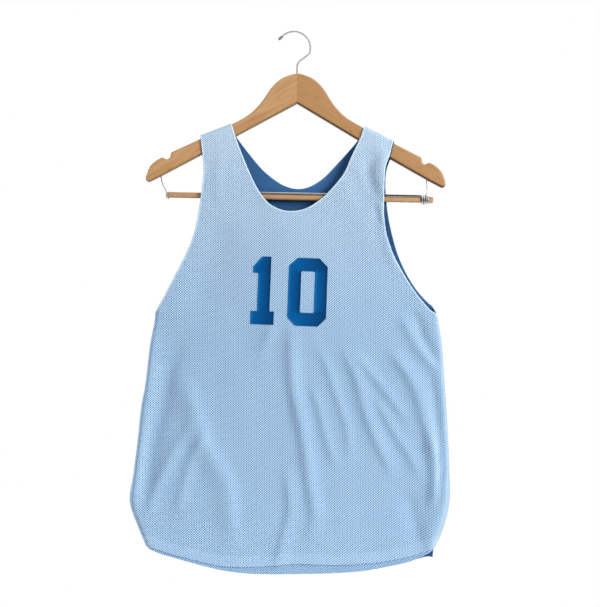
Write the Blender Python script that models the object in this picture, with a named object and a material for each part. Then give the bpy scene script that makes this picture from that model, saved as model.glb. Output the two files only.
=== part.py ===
"""Reversible basketball jersey hanging on a wooden hanger with a trouser bar.

Frame: +Z up and the front of the jersey towards -Y.  The origin is the point inside the top of the
hook that rests on a rail.  Sizes are in millimetres, and a "drop" is a distance straight down from
the origin.

The jersey has two plies, a white mesh tank and a blue tank inside it.  Each panel is drawn flat, as
a cutter would lay it out: "across" is measured along the cloth from the centre line, and "down" is
measured along the cloth as a drop.  A net of triangles fills the drawing, and hang() lays each of
its points on the hanging form, which is a flattened tube with rounded sides that closes over the
hanger's arms.
"""

import math
from bisect import bisect_right
from collections import namedtuple

import bmesh
import bpy
from mathutils import Matrix, Vector
from mathutils.geometry import delaunay_2d_cdt

MM = 0.001
GAP = 0.3

# ---------------------------------------------------------------- the jersey's sizes

FRONT, BACK = -1, 1

# A ply is the pair of distances from the outer face of the cloth to its two faces.
CLOTH = 1.0
FILM = 0.8
OUTER_PLY = (0.0, -CLOTH)
INNER_PLY = (-CLOTH - GAP, -2 * CLOTH - GAP)
FILM_PLY = (GAP + FILM, GAP)

# The hanging tube: its side edges from the centre line, and half its thickness.  Above the
# underarms the sides are only the lines that the armholes are measured from.
Section = namedtuple("Section", "drop left right depth")
SECTIONS = (
    Section(110, 205, 211, 9.5),
    Section(250, 205, 211, 9.5),
    Section(330, 205, 211, 10.5),
    Section(415, 205, 211, 13),
    Section(460, 212.5, 217.5, 14),
    Section(520, 219.7, 221.7, 15),
    Section(550, 225.4, 223.8, 15.4),
    Section(600, 230.7, 226.7, 16),
    Section(650, 237, 228.6, 17.5),
    Section(690, 242.3, 228.7, 19),
    Section(730, 229, 219.4, 22),
    Section(758, 217, 206.9, 24),
    Section(776, 212, 204.2, 25),
    Section(820, 207, 196, 26),
)

# Armhole edges, from the centre line.
Armhole = namedtuple("Armhole", "drop front_left front_right back_left back_right")
ARMHOLES = (
    Armhole(182, 134.8, 140, 135.6, 142.4),
    Armhole(200, 133.6, 134, 133.6, 136.4),
    Armhole(220, 134.4, 132.2, 133.4, 134.6),
    Armhole(250, 138.4, 131.6, 134.4, 136.6),
    Armhole(275, 142.4, 132, 139.4, 139.9),
    Armhole(300, 148.4, 136, 146.4, 145.4),
    Armhole(328, 159.5, 145.5, 157.5, 153.7),
    Armhole(356, 173.7, 160, 171.7, 166.4),
    Armhole(380, 186, 175, 185, 181.4),
    Armhole(398, 195.6, 189, 195.6, 197.8),
    Armhole(411, 203, 201.5, 203, 209.5),
)
UNDERARM = {"left": 416, "right": 419}

# The shoulder seams lie along the top of the hanger's arms, each from its outer to its inner end.
Corner = namedtuple("Corner", "across drop")
SHOULDERS = {
    "left": (Corner(-139, 151.8), Corner(-94, 133.2)),
    "right": (Corner(147, 160.2), Corner(105, 139.3)),
}
SHOULDER_BEND = 6.5

# Necklines from the left shoulder to the right one, without their ends on the shoulder seams.
FRONT_NECK = (
    Corner(-87, 153),
    Corner(-77, 180),
    Corner(-57.9, 224),
    Corner(-40.8, 249.3),
    Corner(-26, 259.4),
    Corner(-3, 264.2),
    Corner(18, 259.7),
    Corner(31, 252.3),
    Corner(47.1, 239.4),
    Corner(66.9, 217),
    Corner(75.9, 203),
    Corner(83, 186),
    Corner(96.2, 158),
)
BACK_NECK = (
    Corner(-85, 154),
    Corner(-66.3, 179),
    Corner(-46.3, 202.5),
    Corner(-25.3, 219.5),
    Corner(-9.3, 227.5),
    Corner(4.7, 230.2),
    Corner(18.7, 228.3),
    Corner(32.7, 221.5),
    Corner(49.7, 208),
    Corner(82.7, 172),
    Corner(94, 158),
)

# The free hems.  The blue front hangs lower than the white one in the middle, and the back lower
# than both at its right end.
Hem = namedtuple("Hem", "across front_outer front_inner back")
HEMS = (
    Hem(-232, 753, 755, 755),
    Hem(-207, 754.8, 758.6, 759.5),
    Hem(-190, 760.3, 764.6, 766),
    Hem(-138, 774, 779, 780),
    Hem(-104, 781, 787, 786.2),
    Hem(-60, 782, 792, 790),
    Hem(0, 778, 792.3, 790),
    Hem(60, 779.5, 791, 790),
    Hem(105, 777, 787, 787),
    Hem(138, 773, 781, 786.4),
    Hem(170, 766, 773.5, 785),
    Hem(190, 758.9, 765, 781.2),
    Hem(204, 754.6, 760.6, 777.8),
    Hem(219, 751, 758, 774),
)

# The largest folds: each is a soft ridge along a bent line from its top to its foot.
Fold = namedtuple("Fold", "top_x top mid_x mid foot_x foot width height")
FRONT_FOLDS = (
    Fold(-5, 450, 7, 590, 29, 730, 17, 7.0),
    Fold(-10, 640, -9, 715, -15, 830, 15, 6.0),
    Fold(-169, 490, -132, 601, -95, 735, 20, 5.5),
    Fold(-166, 580, -192, 640, -212, 722, 13, 4.0),
    Fold(79, 470, 109, 572, 147, 680, 16, 4.5),
    Fold(156, 470, 181, 542, 200, 625, 13, 4.5),
    Fold(205, 600, 202, 655, 199, 722, 12, 4.0),
)
BACK_FOLDS = (
    Fold(12, 430, 2, 590, -22, 740, 18, 6.5),
    Fold(40, 640, 44, 720, 52, 830, 15, 5.5),
    Fold(150, 470, 128, 600, 104, 740, 19, 5.0),
    Fold(-82, 480, -112, 580, -150, 690, 16, 4.5),
    Fold(-160, 500, -184, 590, -206, 700, 14, 4.0),
    Fold(188, 560, 200, 640, 196, 730, 13, 4.0),
)
FOLD_FADE = 0.22

# Block numerals with cut corners, turned a little with the hanging cloth.
NUMERAL_HEIGHT = 99.5
STROKE = 18.4
CROSS_STROKE = 19.5
CHAMFER = 12
COUNTER_CHAMFER = 1.5
ONE_FOOT = 34.5
ONE_STEM_INSET = 9.3
ONE_FLAG_INSET = 1.4
ONE_FLAG_RISE = (75, 84.5)
ZERO_WIDTH = 56.8
NUMERAL_SPACE = 19.2
NUMERAL_CENTRE = Corner(-7.6, 382.3)
NUMERAL_TURN = math.radians(2.2)

# The net: triangles between points about this far apart.  Its rows are counted from the origin's
# level, and its columns from the centre line.
NET_ACROSS = 18.8
NET_DOWN = 33
NET_ROWS = range(5, 25)
NET_COLUMNS = range(-13, 14)
NET_CLEARANCE = 7
EDGE_STEP = 17
SIDE_RIBS = (8, 17)
SHOULDER_RIBS = (4.3, 8.6, 13)
SHOULDER_PIECES = 4

# ---------------------------------------------------------------- the hanger's sizes

HANGER_TURN = math.radians(1.15)
HANGER_AXIS = 6.3
HANGER_THICKNESS = 13
HANGER_EASE = 2.9
HANGER_CROWN = 61.6

# Half of the hanger's outline, from its axis: the crown and its flank, the arm's straight top with
# the strap notch, the rounded end, and the underside back to the middle.
Spot = namedtuple("Spot", "out drop")
CROWN = (
    Spot(-13, 64.6),
    Spot(0, HANGER_CROWN),
    Spot(13, 64.6),
    Spot(22, 68.5),
    Spot(30.8, 75.2),
    Spot(38, 82.8),
    Spot(43.4, 90.4),
    Spot(48.3, 98.4),
    Spot(53.7, 106),
    Spot(60.5, 113.9),
    Spot(68.5, 121.6),
    Spot(79, 129),
    Spot(97, 138.9),
)
ARM_END = (
    Spot(183.6, 181.2),
    Spot(185.3, 186.4),
    Spot(188.4, 191.1),
    Spot(192.4, 190.5),
    Spot(197, 188.8),
)
TIP = (
    Spot(203, 191.9),
    Spot(209, 196.3),
    Spot(214, 201.6),
    Spot(219.8, 214.8),
    Spot(220.6, 219.6),
    Spot(217.6, 224.6),
    Spot(214.6, 224.3),
)
UNDERSIDES = {
    "left": (Spot(196, 214.5), Spot(140, 183.5), Spot(88, 154.3)),
    "right": (Spot(196, 214.9), Spot(140, 184.6), Spot(88, 155.4)),
}
APEX_DROP = 105
CROWN_STEP = 9
TIP_STEP = 6

# The hook is an arc from its tip over the rail to its lower bend, then a stem down into the wood.
# Angles are in degrees, anticlockwise from +X.
HOOK_RADIUS = 24
HOOK_WIRE = 1.3
HOOK_ARC = range(137, -31, -12)
STEM_AXIS = 5
HOOK_BEND = ((16, 36.6), (10.6, 40.6), (6.7, 44.6), (STEM_AXIS, 50))
HOOK_STEP = 5
HOOK_TIP_RADIUS = 1.9
HOOK_TIP_LENGTH = 7.5
STEM_TOP = HANGER_CROWN - 5
STEM_DEPTH = 16
BLIND_END = 1

BAR_RADIUS = 4.2
BAR_DROP = 243.3
BAR_ENDS = (-184, 209.3)
BAR_EASE = 0.7

# The thin wires turn round the bar with a small gap to it.  Turns are in degrees, from the top of
# the bar and over its front.
WIRE = 1.0
WIRE_ORBIT = BAR_RADIUS + GAP + WIRE + 0.1
WIRE_PITCH = 2.35
WIRE_STEP = 4
TURN_STEP = 30
BORE_DEPTH = 10
LOCK_RUN = (-92, 192.6)
LOCK_PIECES = 4
LOCK_TURNS = (0, 720)

# A bar wire: the place where it leaves the underside of its arm, its way down as x, y and drop, and
# the start and the turns of its ring round the bar.
BarWire = namedtuple("BarWire", "across drop way ring_start turns")
LEFT_WAY = ((-191.2, 0, 222), (-188.3, -1.6, 230), (-184.2, -4.8, 237))
RIGHT_WAY = ((199.8, -2.2, 226.5), (200.2, -4.8, 234.5))
BAR_WIRES = {
    "left": BarWire(-191.9, 214.5, LEFT_WAY, -182, (90, 330)),
    "right": BarWire(199.2, 214.5, RIGHT_WAY, 200.3, (60, 330)),
}
STRAIGHT_OUT = 2

# ---------------------------------------------------------------- materials

# Each finish: its colour as screen values from 0 to 255, its roughness and its metallic value.
Finish = namedtuple("Finish", "colour roughness metallic")
FINISHES = {
    "white_mesh": Finish((200, 217, 240), 0.75, 0),
    "blue_lining": Finish((45, 100, 165), 0.7, 0),
    "blue_film": Finish((5, 90, 160), 0.45, 0),
    "beech": Finish((197, 152, 102), 0.4, 0),
    "bright_steel": Finish((205, 205, 208), 0.2, 1),
    "dark_tip": Finish((70, 70, 75), 0.5, 0),
}


def linear(screen):
    """Scene-linear value of one screen value."""
    value = screen / 255
    return value / 12.92 if value <= 0.04045 else ((value + 0.055) / 1.055) ** 2.4


def material(name):
    """The material of a finish, made once."""
    made = bpy.data.materials.get(name)
    if made:
        return made
    finish = FINISHES[name]
    made = bpy.data.materials.new(name)
    made.use_nodes = True
    shader = made.node_tree.nodes["Principled BSDF"]
    shader.inputs["Base Color"].default_value = (*map(linear, finish.colour), 1)
    shader.inputs["Roughness"].default_value = finish.roughness
    shader.inputs["Metallic"].default_value = finish.metallic
    return made


# ---------------------------------------------------------------- curves through table rows


def through(before, start, end, after, t):
    """Point at t, from 0 to 1, of the smooth curve from start to end."""
    return tuple(
        0.5 * (2 * b + (c - a) * t + (2 * a - 5 * b + 4 * c - d) * t**2 + (3 * b - a - 3 * c + d) * t**3)
        for a, b, c, d in zip(before, start, end, after)
    )


def smooth(points, step):
    """Points about a step apart on the smooth curve through the given ones, both ends included."""
    ends = [points[0], *points, points[-1]]
    curve = []
    for before, start, end, after in zip(ends, ends[1:], ends[2:], ends[3:]):
        pieces = max(1, round(math.dist(start, end) / step))
        curve += [through(before, start, end, after, k / pieces) for k in range(pieces)]
    return curve + [tuple(points[-1])]


def read(rows, key, name):
    """A column's value at a key, on the smooth curve through the table's rows."""
    keys = [row[0] for row in rows]
    values = [getattr(row, name) for row in rows]
    key = min(max(key, keys[0]), keys[-1])
    k = min(bisect_right(keys, key) - 1, len(rows) - 2)

    def slope(i):
        low, high = max(i - 1, 0), min(i + 1, len(rows) - 1)
        return (values[high] - values[low]) / (keys[high] - keys[low])

    span = keys[k + 1] - keys[k]
    t = (key - keys[k]) / span
    return (
        values[k] * (1 + 2 * t) * (1 - t) ** 2
        + values[k + 1] * t**2 * (3 - 2 * t)
        + span * (slope(k) * t * (1 - t) ** 2 - slope(k + 1) * t**2 * (1 - t))
    )


# ---------------------------------------------------------------- the hanging form


def bend_length(reach, along):
    """Length of cloth round a quarter of an ellipse with these two half axes."""
    return math.pi / 2 * math.sqrt((reach**2 + along**2) / 2)


def roll(length, reach, along):
    """Distance from the edge and share of the full depth, a length of cloth in from the edge."""
    bend = bend_length(reach, along)
    if length >= bend:
        return along + length - bend, 1.0
    turn = length / bend * math.pi / 2
    return along * (1 - math.cos(turn)), math.sin(turn)


def unroll(inset, reach, along):
    """Length of cloth from the edge to a place this far in from it."""
    bend = bend_length(reach, along)
    if inset >= along:
        return inset - along + bend
    return bend * math.acos(1 - inset / along) / (math.pi / 2)


def flat_side(hand, drop):
    """How far across the flat panel its side edge lies."""
    depth = read(SECTIONS, drop, "depth")
    return read(SECTIONS, drop, hand) - depth + bend_length(depth, depth)


def shoulder_drop(across):
    """Drop of the shoulder seam's line above a place across the panel."""
    outer, inner = SHOULDERS["left" if across < 0 else "right"]
    slope = (outer.drop - inner.drop) / (outer.across - inner.across)
    return inner.drop + slope * (across - inner.across)


def flat_shoulder(across):
    """How far down the flat panel its shoulder edge lies."""
    depth = SECTIONS[0].depth
    return shoulder_drop(across) + SHOULDER_BEND - bend_length(depth, SHOULDER_BEND)


def fold_relief(fold, x, drop):
    """Height of one fold at a place."""
    length, drift = fold.foot - fold.top, fold.foot_x - fold.top_x
    share = (drop - fold.top) / length
    if not 0 < share < 1:
        return 0.0
    bow = fold.mid_x - fold.top_x - drift * (fold.mid - fold.top) / length
    crest = fold.top_x + drift * share + 4 * bow * share * (1 - share)
    fade = min(1.0, share / FOLD_FADE, (1 - share) / FOLD_FADE)
    return fold.height * fade * fade * (3 - 2 * fade) * math.exp(-(((x - crest) / fold.width) ** 2))


def hang(side, across, down):
    """Where the cloth's outer face hangs, from a place on the flat panel."""
    inset, rise = roll(down - flat_shoulder(across), SECTIONS[0].depth, SHOULDER_BEND)
    drop = shoulder_drop(across) + inset
    hand = "left" if across < 0 else "right"
    depth = read(SECTIONS, drop, "depth")
    inset, bulge = roll(flat_side(hand, drop) - abs(across), depth, depth)
    x = math.copysign(read(SECTIONS, drop, hand) - inset, across)
    folds = FRONT_FOLDS if side == FRONT else BACK_FOLDS
    relief = sum(fold_relief(fold, x, drop) for fold in folds)
    return Vector((x, side * (depth + relief) * bulge * rise, -drop))


def outward(side, across, down):
    """Unit vector out of the cloth's outer face."""
    reach = 0.5
    crosswise = hang(side, across + reach, down) - hang(side, across - reach, down)
    downwards = hang(side, across, down + reach) - hang(side, across, down - reach)
    return (crosswise.cross(downwards) * side).normalized()


# ---------------------------------------------------------------- the flat panels


def over_shoulder(across, spot):
    """Start of a strap's edge: its end on the shoulder seam, and a point on each shoulder rib."""
    start = flat_shoulder(across) + GAP / 2
    edge = [(across, start)]
    for length in SHOULDER_RIBS:
        share = length / (spot[1] - start)
        edge.append((across + (spot[0] - across) * share, start + length))
    return edge


def armhole(side, hand):
    """Armhole edge of a flat panel, from the shoulder down to the underarm."""
    name = ("front_" if side == FRONT else "back_") + hand
    sign = -1 if hand == "left" else 1
    spots = []
    for row in ARMHOLES:
        depth = read(SECTIONS, row.drop, "depth")
        inset = read(SECTIONS, row.drop, hand) - getattr(row, name)
        spots.append((sign * (flat_side(hand, row.drop) - unroll(inset, depth, depth)), row.drop))
    low = UNDERARM[hand]
    spots.append((sign * (flat_side(hand, low) - GAP / 2), low))
    return smooth(over_shoulder(SHOULDERS[hand][0].across, spots[0]) + spots, EDGE_STEP)


def side_seam(hand, foot):
    """Side edge of a flat panel, from below the underarm to above the hem."""
    sign = -1 if hand == "left" else 1
    low = UNDERARM[hand]
    pieces = round((foot - low) / NET_DOWN)
    drops = [low + (foot - low) * k / pieces for k in range(1, pieces)]
    return [(sign * (flat_side(hand, drop) - GAP / 2), drop) for drop in drops]


def neckline(side):
    """Neck edge of a flat panel, from the left shoulder to the right one."""
    spots = FRONT_NECK if side == FRONT else BACK_NECK
    left = over_shoulder(SHOULDERS["left"][1].across, spots[0])
    right = over_shoulder(SHOULDERS["right"][1].across, spots[-1])
    return smooth(left + list(spots) + right[::-1], EDGE_STEP)


def hem(name):
    """A hem of a flat panel, from its right corner to its left one."""
    corners = [(row.across, getattr(row, name)) for row in HEMS]
    left, right = corners[0][1], corners[-1][1]
    inner = corners[1:-1]
    ends = (-flat_side("left", left) + GAP / 2, left), (flat_side("right", right) - GAP / 2, right)
    return smooth([ends[0], *inner, ends[1]], EDGE_STEP)[::-1]


def outline(side, hem_name):
    """The whole edge of a flat panel, all the way round."""
    feet = {"left": HEMS[0].back, "right": HEMS[-1].back}
    return (
        armhole(side, "left")[::-1]
        + neckline(side)
        + armhole(side, "right")
        + side_seam("right", feet["right"])
        + hem(hem_name)
        + side_seam("left", feet["left"])[::-1]
    )


def shoulder_ribs():
    """Net points along the bend over the hanger's arms."""
    ribs = []
    for outer, inner in SHOULDERS.values():
        for k in range(1, SHOULDER_PIECES):
            across = outer.across + (inner.across - outer.across) * k / SHOULDER_PIECES
            ribs += [(across, flat_shoulder(across) + length) for length in SHOULDER_RIBS]
    return ribs


def side_ribs(hand, foot):
    """Net points along the rounded side of the tube."""
    sign = -1 if hand == "left" else 1
    seam = [down for _, down in side_seam(hand, foot)]
    return [(sign * (flat_side(hand, down) - length), down) for length in SIDE_RIBS for down in seam]


def lattice():
    """Net points over the flat panel's middle, with every other row shifted by half a step."""
    spots = []
    for row in NET_ROWS:
        down = row * NET_DOWN
        shift = NET_ACROSS / 2 * (row % 2)
        for column in NET_COLUMNS:
            across = column * NET_ACROSS + shift
            room = flat_side("left" if across < 0 else "right", down) - abs(across)
            if room > SIDE_RIBS[-1] + NET_CLEARANCE and down > flat_shoulder(across) + SHOULDER_RIBS[-1]:
                spots.append((across, down))
    return spots


def clear_of(spot, loop):
    """Whether a net point is far enough from every edge of a loop."""
    place = Vector(spot)
    for start, end in zip(loop, loop[1:] + loop[:1]):
        start, end = Vector(start), Vector(end)
        along = end - start
        share = min(max((place - start).dot(along) / max(along.length_squared, 1e-9), 0), 1)
        if (place - start - along * share).length < NET_CLEARANCE:
            return False
    return True


Net = namedtuple("Net", "spots faces owners")


def make_net(side, loops):
    """Triangles over the loops, and for each triangle the numbers of the loops that hold it."""
    panel = loops[0]
    inner = [spot for spot in lattice() if all(clear_of(spot, loop) for loop in loops)]
    feet = (("left", HEMS[0].back), ("right", HEMS[-1].back))
    ribs = shoulder_ribs() + [spot for hand, foot in feet for spot in side_ribs(hand, foot)]
    corners = [spot for loop in loops for spot in loop]
    squash = NET_ACROSS / NET_DOWN
    spots = [Vector((across, down * squash)) for across, down in corners + ribs + inner]
    faces, start = [], 0
    for loop in loops:
        faces.append(list(range(start, start + len(loop))))
        start += len(loop)
    made = delaunay_2d_cdt(spots, [], faces, 0, 0.01, True)
    triangles = [(face, set(owners)) for face, owners in zip(made[2], made[5]) if owners]
    return Net(
        [(spot.x, spot.y / squash) for spot in made[0]],
        [face for face, _ in triangles],
        [owners for _, owners in triangles],
    )


def shell(name, side, net, holds, ply, finish):
    """A cloth wall over those of the net's triangles whose owners pass the test "holds"."""
    faces = [face for face, owners in zip(net.faces, net.owners) if holds(owners)]
    used = sorted({corner for face in faces for corner in face})
    body = bmesh.new()
    walls = []
    for height in ply:
        layer = {}
        for corner in used:
            place = hang(side, *net.spots[corner]) + outward(side, *net.spots[corner]) * height
            layer[corner] = body.verts.new(place * MM)
        walls.append(layer)
    top, bottom = walls
    steps = {(face[k], face[(k + 1) % 3]) for face in faces for k in range(3)}
    for face in faces:
        body.faces.new([top[corner] for corner in face])
        body.faces.new([bottom[corner] for corner in reversed(face)])
    for start, end in steps:
        if (end, start) not in steps:
            body.faces.new((top[end], top[start], bottom[start], bottom[end]))
    bmesh.ops.triangulate(body, faces=body.faces)
    bmesh.ops.recalc_face_normals(body, faces=body.faces)
    return place_mesh(name, body, finish)


def place_mesh(name, body, finish):
    """An object with the given body and finish."""
    mesh = bpy.data.meshes.new(name)
    body.to_mesh(mesh)
    body.free()
    mesh.materials.append(material(finish))
    made = bpy.data.objects.new(name, mesh)
    bpy.context.collection.objects.link(made)
    return made


# ---------------------------------------------------------------- numerals


def on_panel(points, left):
    """A numeral's loop, drawn upwards from its lower left corner, placed on the flat front panel.

    Drops run downwards, so the points are taken backwards to keep the loop's inside on its left.
    """
    turn = Matrix.Rotation(NUMERAL_TURN, 2)
    centre = Vector((NUMERAL_CENTRE.across, NUMERAL_CENTRE.drop))
    spots = reversed(points)
    return [tuple(centre + turn @ Vector((left + x, NUMERAL_HEIGHT / 2 - y))) for x, y in spots]


def cut_rectangle(left, right, bottom, top, cut):
    """A rectangle with its four corners cut off."""
    return [
        (left + cut, bottom),
        (right - cut, bottom),
        (right, bottom + cut),
        (right, top - cut),
        (right - cut, top),
        (left + cut, top),
        (left, top - cut),
        (left, bottom + cut),
    ]


def numeral_loops():
    """Outlines on the flat front panel: the one, the zero and the zero's counter."""
    stem = ONE_STEM_INSET, ONE_STEM_INSET + STROKE
    low, high = ONE_FLAG_RISE
    one = [
        (0, 0),
        (ONE_FOOT, 0),
        (ONE_FOOT, CROSS_STROKE),
        (stem[1], CROSS_STROKE),
        (stem[1], NUMERAL_HEIGHT),
        (stem[0] + (NUMERAL_HEIGHT - high) / 3, NUMERAL_HEIGHT),
        (ONE_FLAG_INSET, high),
        (ONE_FLAG_INSET, low),
        (stem[0], low),
        (stem[0], CROSS_STROKE),
        (0, CROSS_STROKE),
    ]
    zero = cut_rectangle(0, ZERO_WIDTH, 0, NUMERAL_HEIGHT, CHAMFER)
    top = NUMERAL_HEIGHT - CROSS_STROKE
    counter = cut_rectangle(STROKE, ZERO_WIDTH - STROKE, CROSS_STROKE, top, COUNTER_CHAMFER)
    width = ONE_FOOT + NUMERAL_SPACE + ZERO_WIDTH
    zero_left = width / 2 - ZERO_WIDTH
    return on_panel(one, -width / 2), on_panel(zero, zero_left), on_panel(counter, zero_left)


# ---------------------------------------------------------------- the jersey


def make_front():
    """White front, blue front and the numerals pressed on the white one."""
    one, zero, counter = numeral_loops()
    loops = [outline(FRONT, "front_inner"), outline(FRONT, "front_outer"), one, zero, counter]
    net = make_net(FRONT, loops)
    shell("front_outer", FRONT, net, lambda owners: 1 in owners, OUTER_PLY, "white_mesh")
    shell("front_inner", FRONT, net, lambda owners: 0 in owners, INNER_PLY, "blue_lining")
    shell("numeral_one", FRONT, net, lambda owners: 2 in owners, FILM_PLY, "blue_film")
    shell("numeral_zero", FRONT, net, lambda owners: 3 in owners and 4 not in owners, FILM_PLY, "blue_film")


def make_back():
    """White back and blue back."""
    net = make_net(BACK, [outline(BACK, "back")])
    shell("back_outer", BACK, net, lambda owners: 0 in owners, OUTER_PLY, "white_mesh")
    shell("back_inner", BACK, net, lambda owners: 0 in owners, INNER_PLY, "blue_lining")


# ---------------------------------------------------------------- the hanger


def half_outline(hand):
    """Half of the hanger's outline from the top of its crown to the apex of its underside."""
    crown = [spot for spot in smooth(CROWN, CROWN_STEP) if spot[0] > -0.01]
    end = smooth((ARM_END[-1], *TIP), TIP_STEP)
    return [*crown, *ARM_END[:-1], *end, *UNDERSIDES[hand]]


def make_hanger_body(frame):
    """Flat beech plank with eased edges, bored for the hook and the two bar wires."""
    right = [(HANGER_AXIS + out, drop) for out, drop in half_outline("right")]
    left = [(HANGER_AXIS - out, drop) for out, drop in half_outline("left")[1:]]
    whole = right + [(HANGER_AXIS, APEX_DROP)] + left[::-1]
    body = bmesh.new()
    rim = [body.verts.new(Vector((x, -HANGER_THICKNESS / 2, -drop)) * MM) for x, drop in whole]
    face = body.faces.new(rim)
    made = bmesh.ops.extrude_face_region(body, geom=[face])
    moved = [item for item in made["geom"] if isinstance(item, bmesh.types.BMVert)]
    bmesh.ops.translate(body, verts=moved, vec=Vector((0, HANGER_THICKNESS * MM, 0)))
    bmesh.ops.recalc_face_normals(body, faces=body.faces)
    flat = [edge for edge in body.edges if abs(edge.verts[0].co.y - edge.verts[1].co.y) < 1e-6]
    bmesh.ops.bevel(body, geom=flat, offset=HANGER_EASE * MM, segments=2, profile=0.5, affect="EDGES")
    hanger = place_mesh("hanger_body", body, "beech")
    hanger.parent = frame
    bore(hanger, STEM_AXIS, HANGER_CROWN, STEM_DEPTH, HOOK_WIRE, frame)
    for start in BAR_WIRES.values():
        bore(hanger, start.across, start.drop, BORE_DEPTH, WIRE, frame)


def bore(hanger, across, mouth, depth, wire_radius, frame):
    """A blind upright hole for a wire, the same length past its mouth as it is deep."""
    cutter = rod("bore", (across, 0, mouth), 2 * depth, wire_radius + GAP, frame)
    cutter.hide_render = True
    cutter.display_type = "WIRE"
    cut = hanger.modifiers.new("bore", "BOOLEAN")
    cut.operation = "DIFFERENCE"
    cut.object = cutter


def rod(name, centre, length, radius, frame, tilt=0.0):
    """A closed round beech rod about a centre given as x, y and drop, upright or tilted about Y."""
    body = bmesh.new()
    bmesh.ops.create_cone(
        body, cap_ends=True, segments=16, radius1=radius * MM, radius2=radius * MM, depth=length * MM
    )
    bmesh.ops.rotate(body, verts=body.verts, matrix=Matrix.Rotation(tilt, 3, "Y"))
    x, y, drop = centre
    bmesh.ops.translate(body, verts=body.verts, vec=Vector((x, y, -drop)) * MM)
    made = place_mesh(name, body, "beech")
    made.parent = frame
    return made


def wire(name, points, radius, finish, frame):
    """A round wire through points given as x, y and drop."""
    curve = bpy.data.curves.new(name, "CURVE")
    curve.dimensions = "3D"
    curve.bevel_depth = radius * MM
    curve.bevel_resolution = 2
    curve.use_fill_caps = True
    spline = curve.splines.new("POLY")
    spline.points.add(len(points) - 1)
    for point, (x, y, drop) in zip(spline.points, points):
        point.co = (x * MM, y * MM, -drop * MM, 1)
    curve.materials.append(material(finish))
    made = bpy.data.objects.new(name, curve)
    bpy.context.collection.objects.link(made)
    made.parent = frame
    return made


def make_hook(frame):
    """Steel wire hook: its round top, its lower bend and its stem in the wood, with a dark tip."""
    centre = HOOK_RADIUS - HOOK_WIRE
    arc = []
    for degrees in HOOK_ARC:
        angle = math.radians(degrees)
        arc.append((HOOK_RADIUS * math.cos(angle), 0, centre - HOOK_RADIUS * math.sin(angle)))
    path = smooth(arc + [(x, 0, drop) for x, drop in HOOK_BEND], HOOK_STEP)
    stem = [(STEM_AXIS, 0, STEM_TOP), (STEM_AXIS, 0, HANGER_CROWN + STEM_DEPTH - BLIND_END)]
    wire("hook", path + stem, HOOK_WIRE, "bright_steel", frame)
    start, onward = Vector(path[0]), Vector(path[1])
    back = (start - onward).normalized()
    ends = [start + back * GAP, start + back * (GAP + HOOK_TIP_LENGTH)]
    wire("hook_tip", ends, HOOK_TIP_RADIUS, "dark_tip", frame)


def turns(start, first, last):
    """Points round the bar from one angle to another, moving along it by a pitch each turn."""
    steps = round(abs(last - first) / TURN_STEP)
    points = []
    for k in range(steps + 1):
        angle = math.radians(first + (last - first) * k / steps)
        along = start + WIRE_PITCH * abs(last - first) / 360 * k / steps
        points.append((along, -WIRE_ORBIT * math.sin(angle), BAR_DROP - WIRE_ORBIT * math.cos(angle)))
    return points


def make_bar(frame):
    """Round trouser bar with eased ends."""
    left, right = BAR_ENDS
    centre = ((left + right) / 2, 0, BAR_DROP)
    bar = rod("trouser_bar", centre, right - left, BAR_RADIUS, frame, tilt=math.pi / 2)
    ease = bar.modifiers.new("ease", "BEVEL")
    ease.width = BAR_EASE * MM
    ease.segments = 1
    ease.limit_method = "ANGLE"
    ease.angle_limit = math.radians(60)


def make_lock_wire(frame):
    """Locking wire along the top of the bar, with the coil clasp at its right end."""
    start, end = LOCK_RUN
    top = BAR_DROP - WIRE_ORBIT
    run = [(start + (end - start) * k / LOCK_PIECES, 0, top) for k in range(LOCK_PIECES)]
    wire("lock_wire", run + turns(end, *LOCK_TURNS), WIRE, "bright_steel", frame)


def make_bar_wires(frame):
    """The two wires that carry the bar from the hanger's arms."""
    for hand, shape in BAR_WIRES.items():
        ring = turns(shape.ring_start, *shape.turns)
        inside = (shape.across, 0, shape.drop - BORE_DEPTH + BLIND_END)
        outside = (shape.across, 0, shape.drop + STRAIGHT_OUT)
        way = smooth([outside, *shape.way, ring[0]], WIRE_STEP)
        wire(f"bar_wire_{hand}", [inside, *way[:-1], *ring], WIRE, "bright_steel", frame)


def make_hanger():
    """The whole hanger, turned a little about the hook's resting point."""
    frame = bpy.data.objects.new("hanger_frame", None)
    bpy.context.collection.objects.link(frame)
    frame.rotation_euler = (0, HANGER_TURN, 0)
    make_hanger_body(frame)
    make_hook(frame)
    make_bar(frame)
    make_lock_wire(frame)
    make_bar_wires(frame)


def main():
    for leftover in list(bpy.data.objects):
        bpy.data.objects.remove(leftover)
    make_front()
    make_back()
    make_hanger()


main()
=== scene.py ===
"""Reversible basketball jersey hanging on a wooden hanger: how each surface looks.

Sizes are in millimetres.  The front of the jersey is towards -Y, and a "drop" is a distance straight
down from the origin, the point inside the top of the hook that rests on a rail.

The jersey is two tanks, one inside the other: white mesh outside and blue inside.  Each of their
four panels is drawn flat, as a cutter would lay it out, with "across" measured along the cloth from
the centre line and "down" along it as a drop.  surface() lays any point of that drawing on the
hanging form, with its creases, turned edges and hems.
"""

import math
from collections import namedtuple

import bmesh
import bpy
import numpy as np
from mathutils import Matrix, Vector
from mathutils.geometry import delaunay_2d_cdt
from mathutils.kdtree import KDTree


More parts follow.
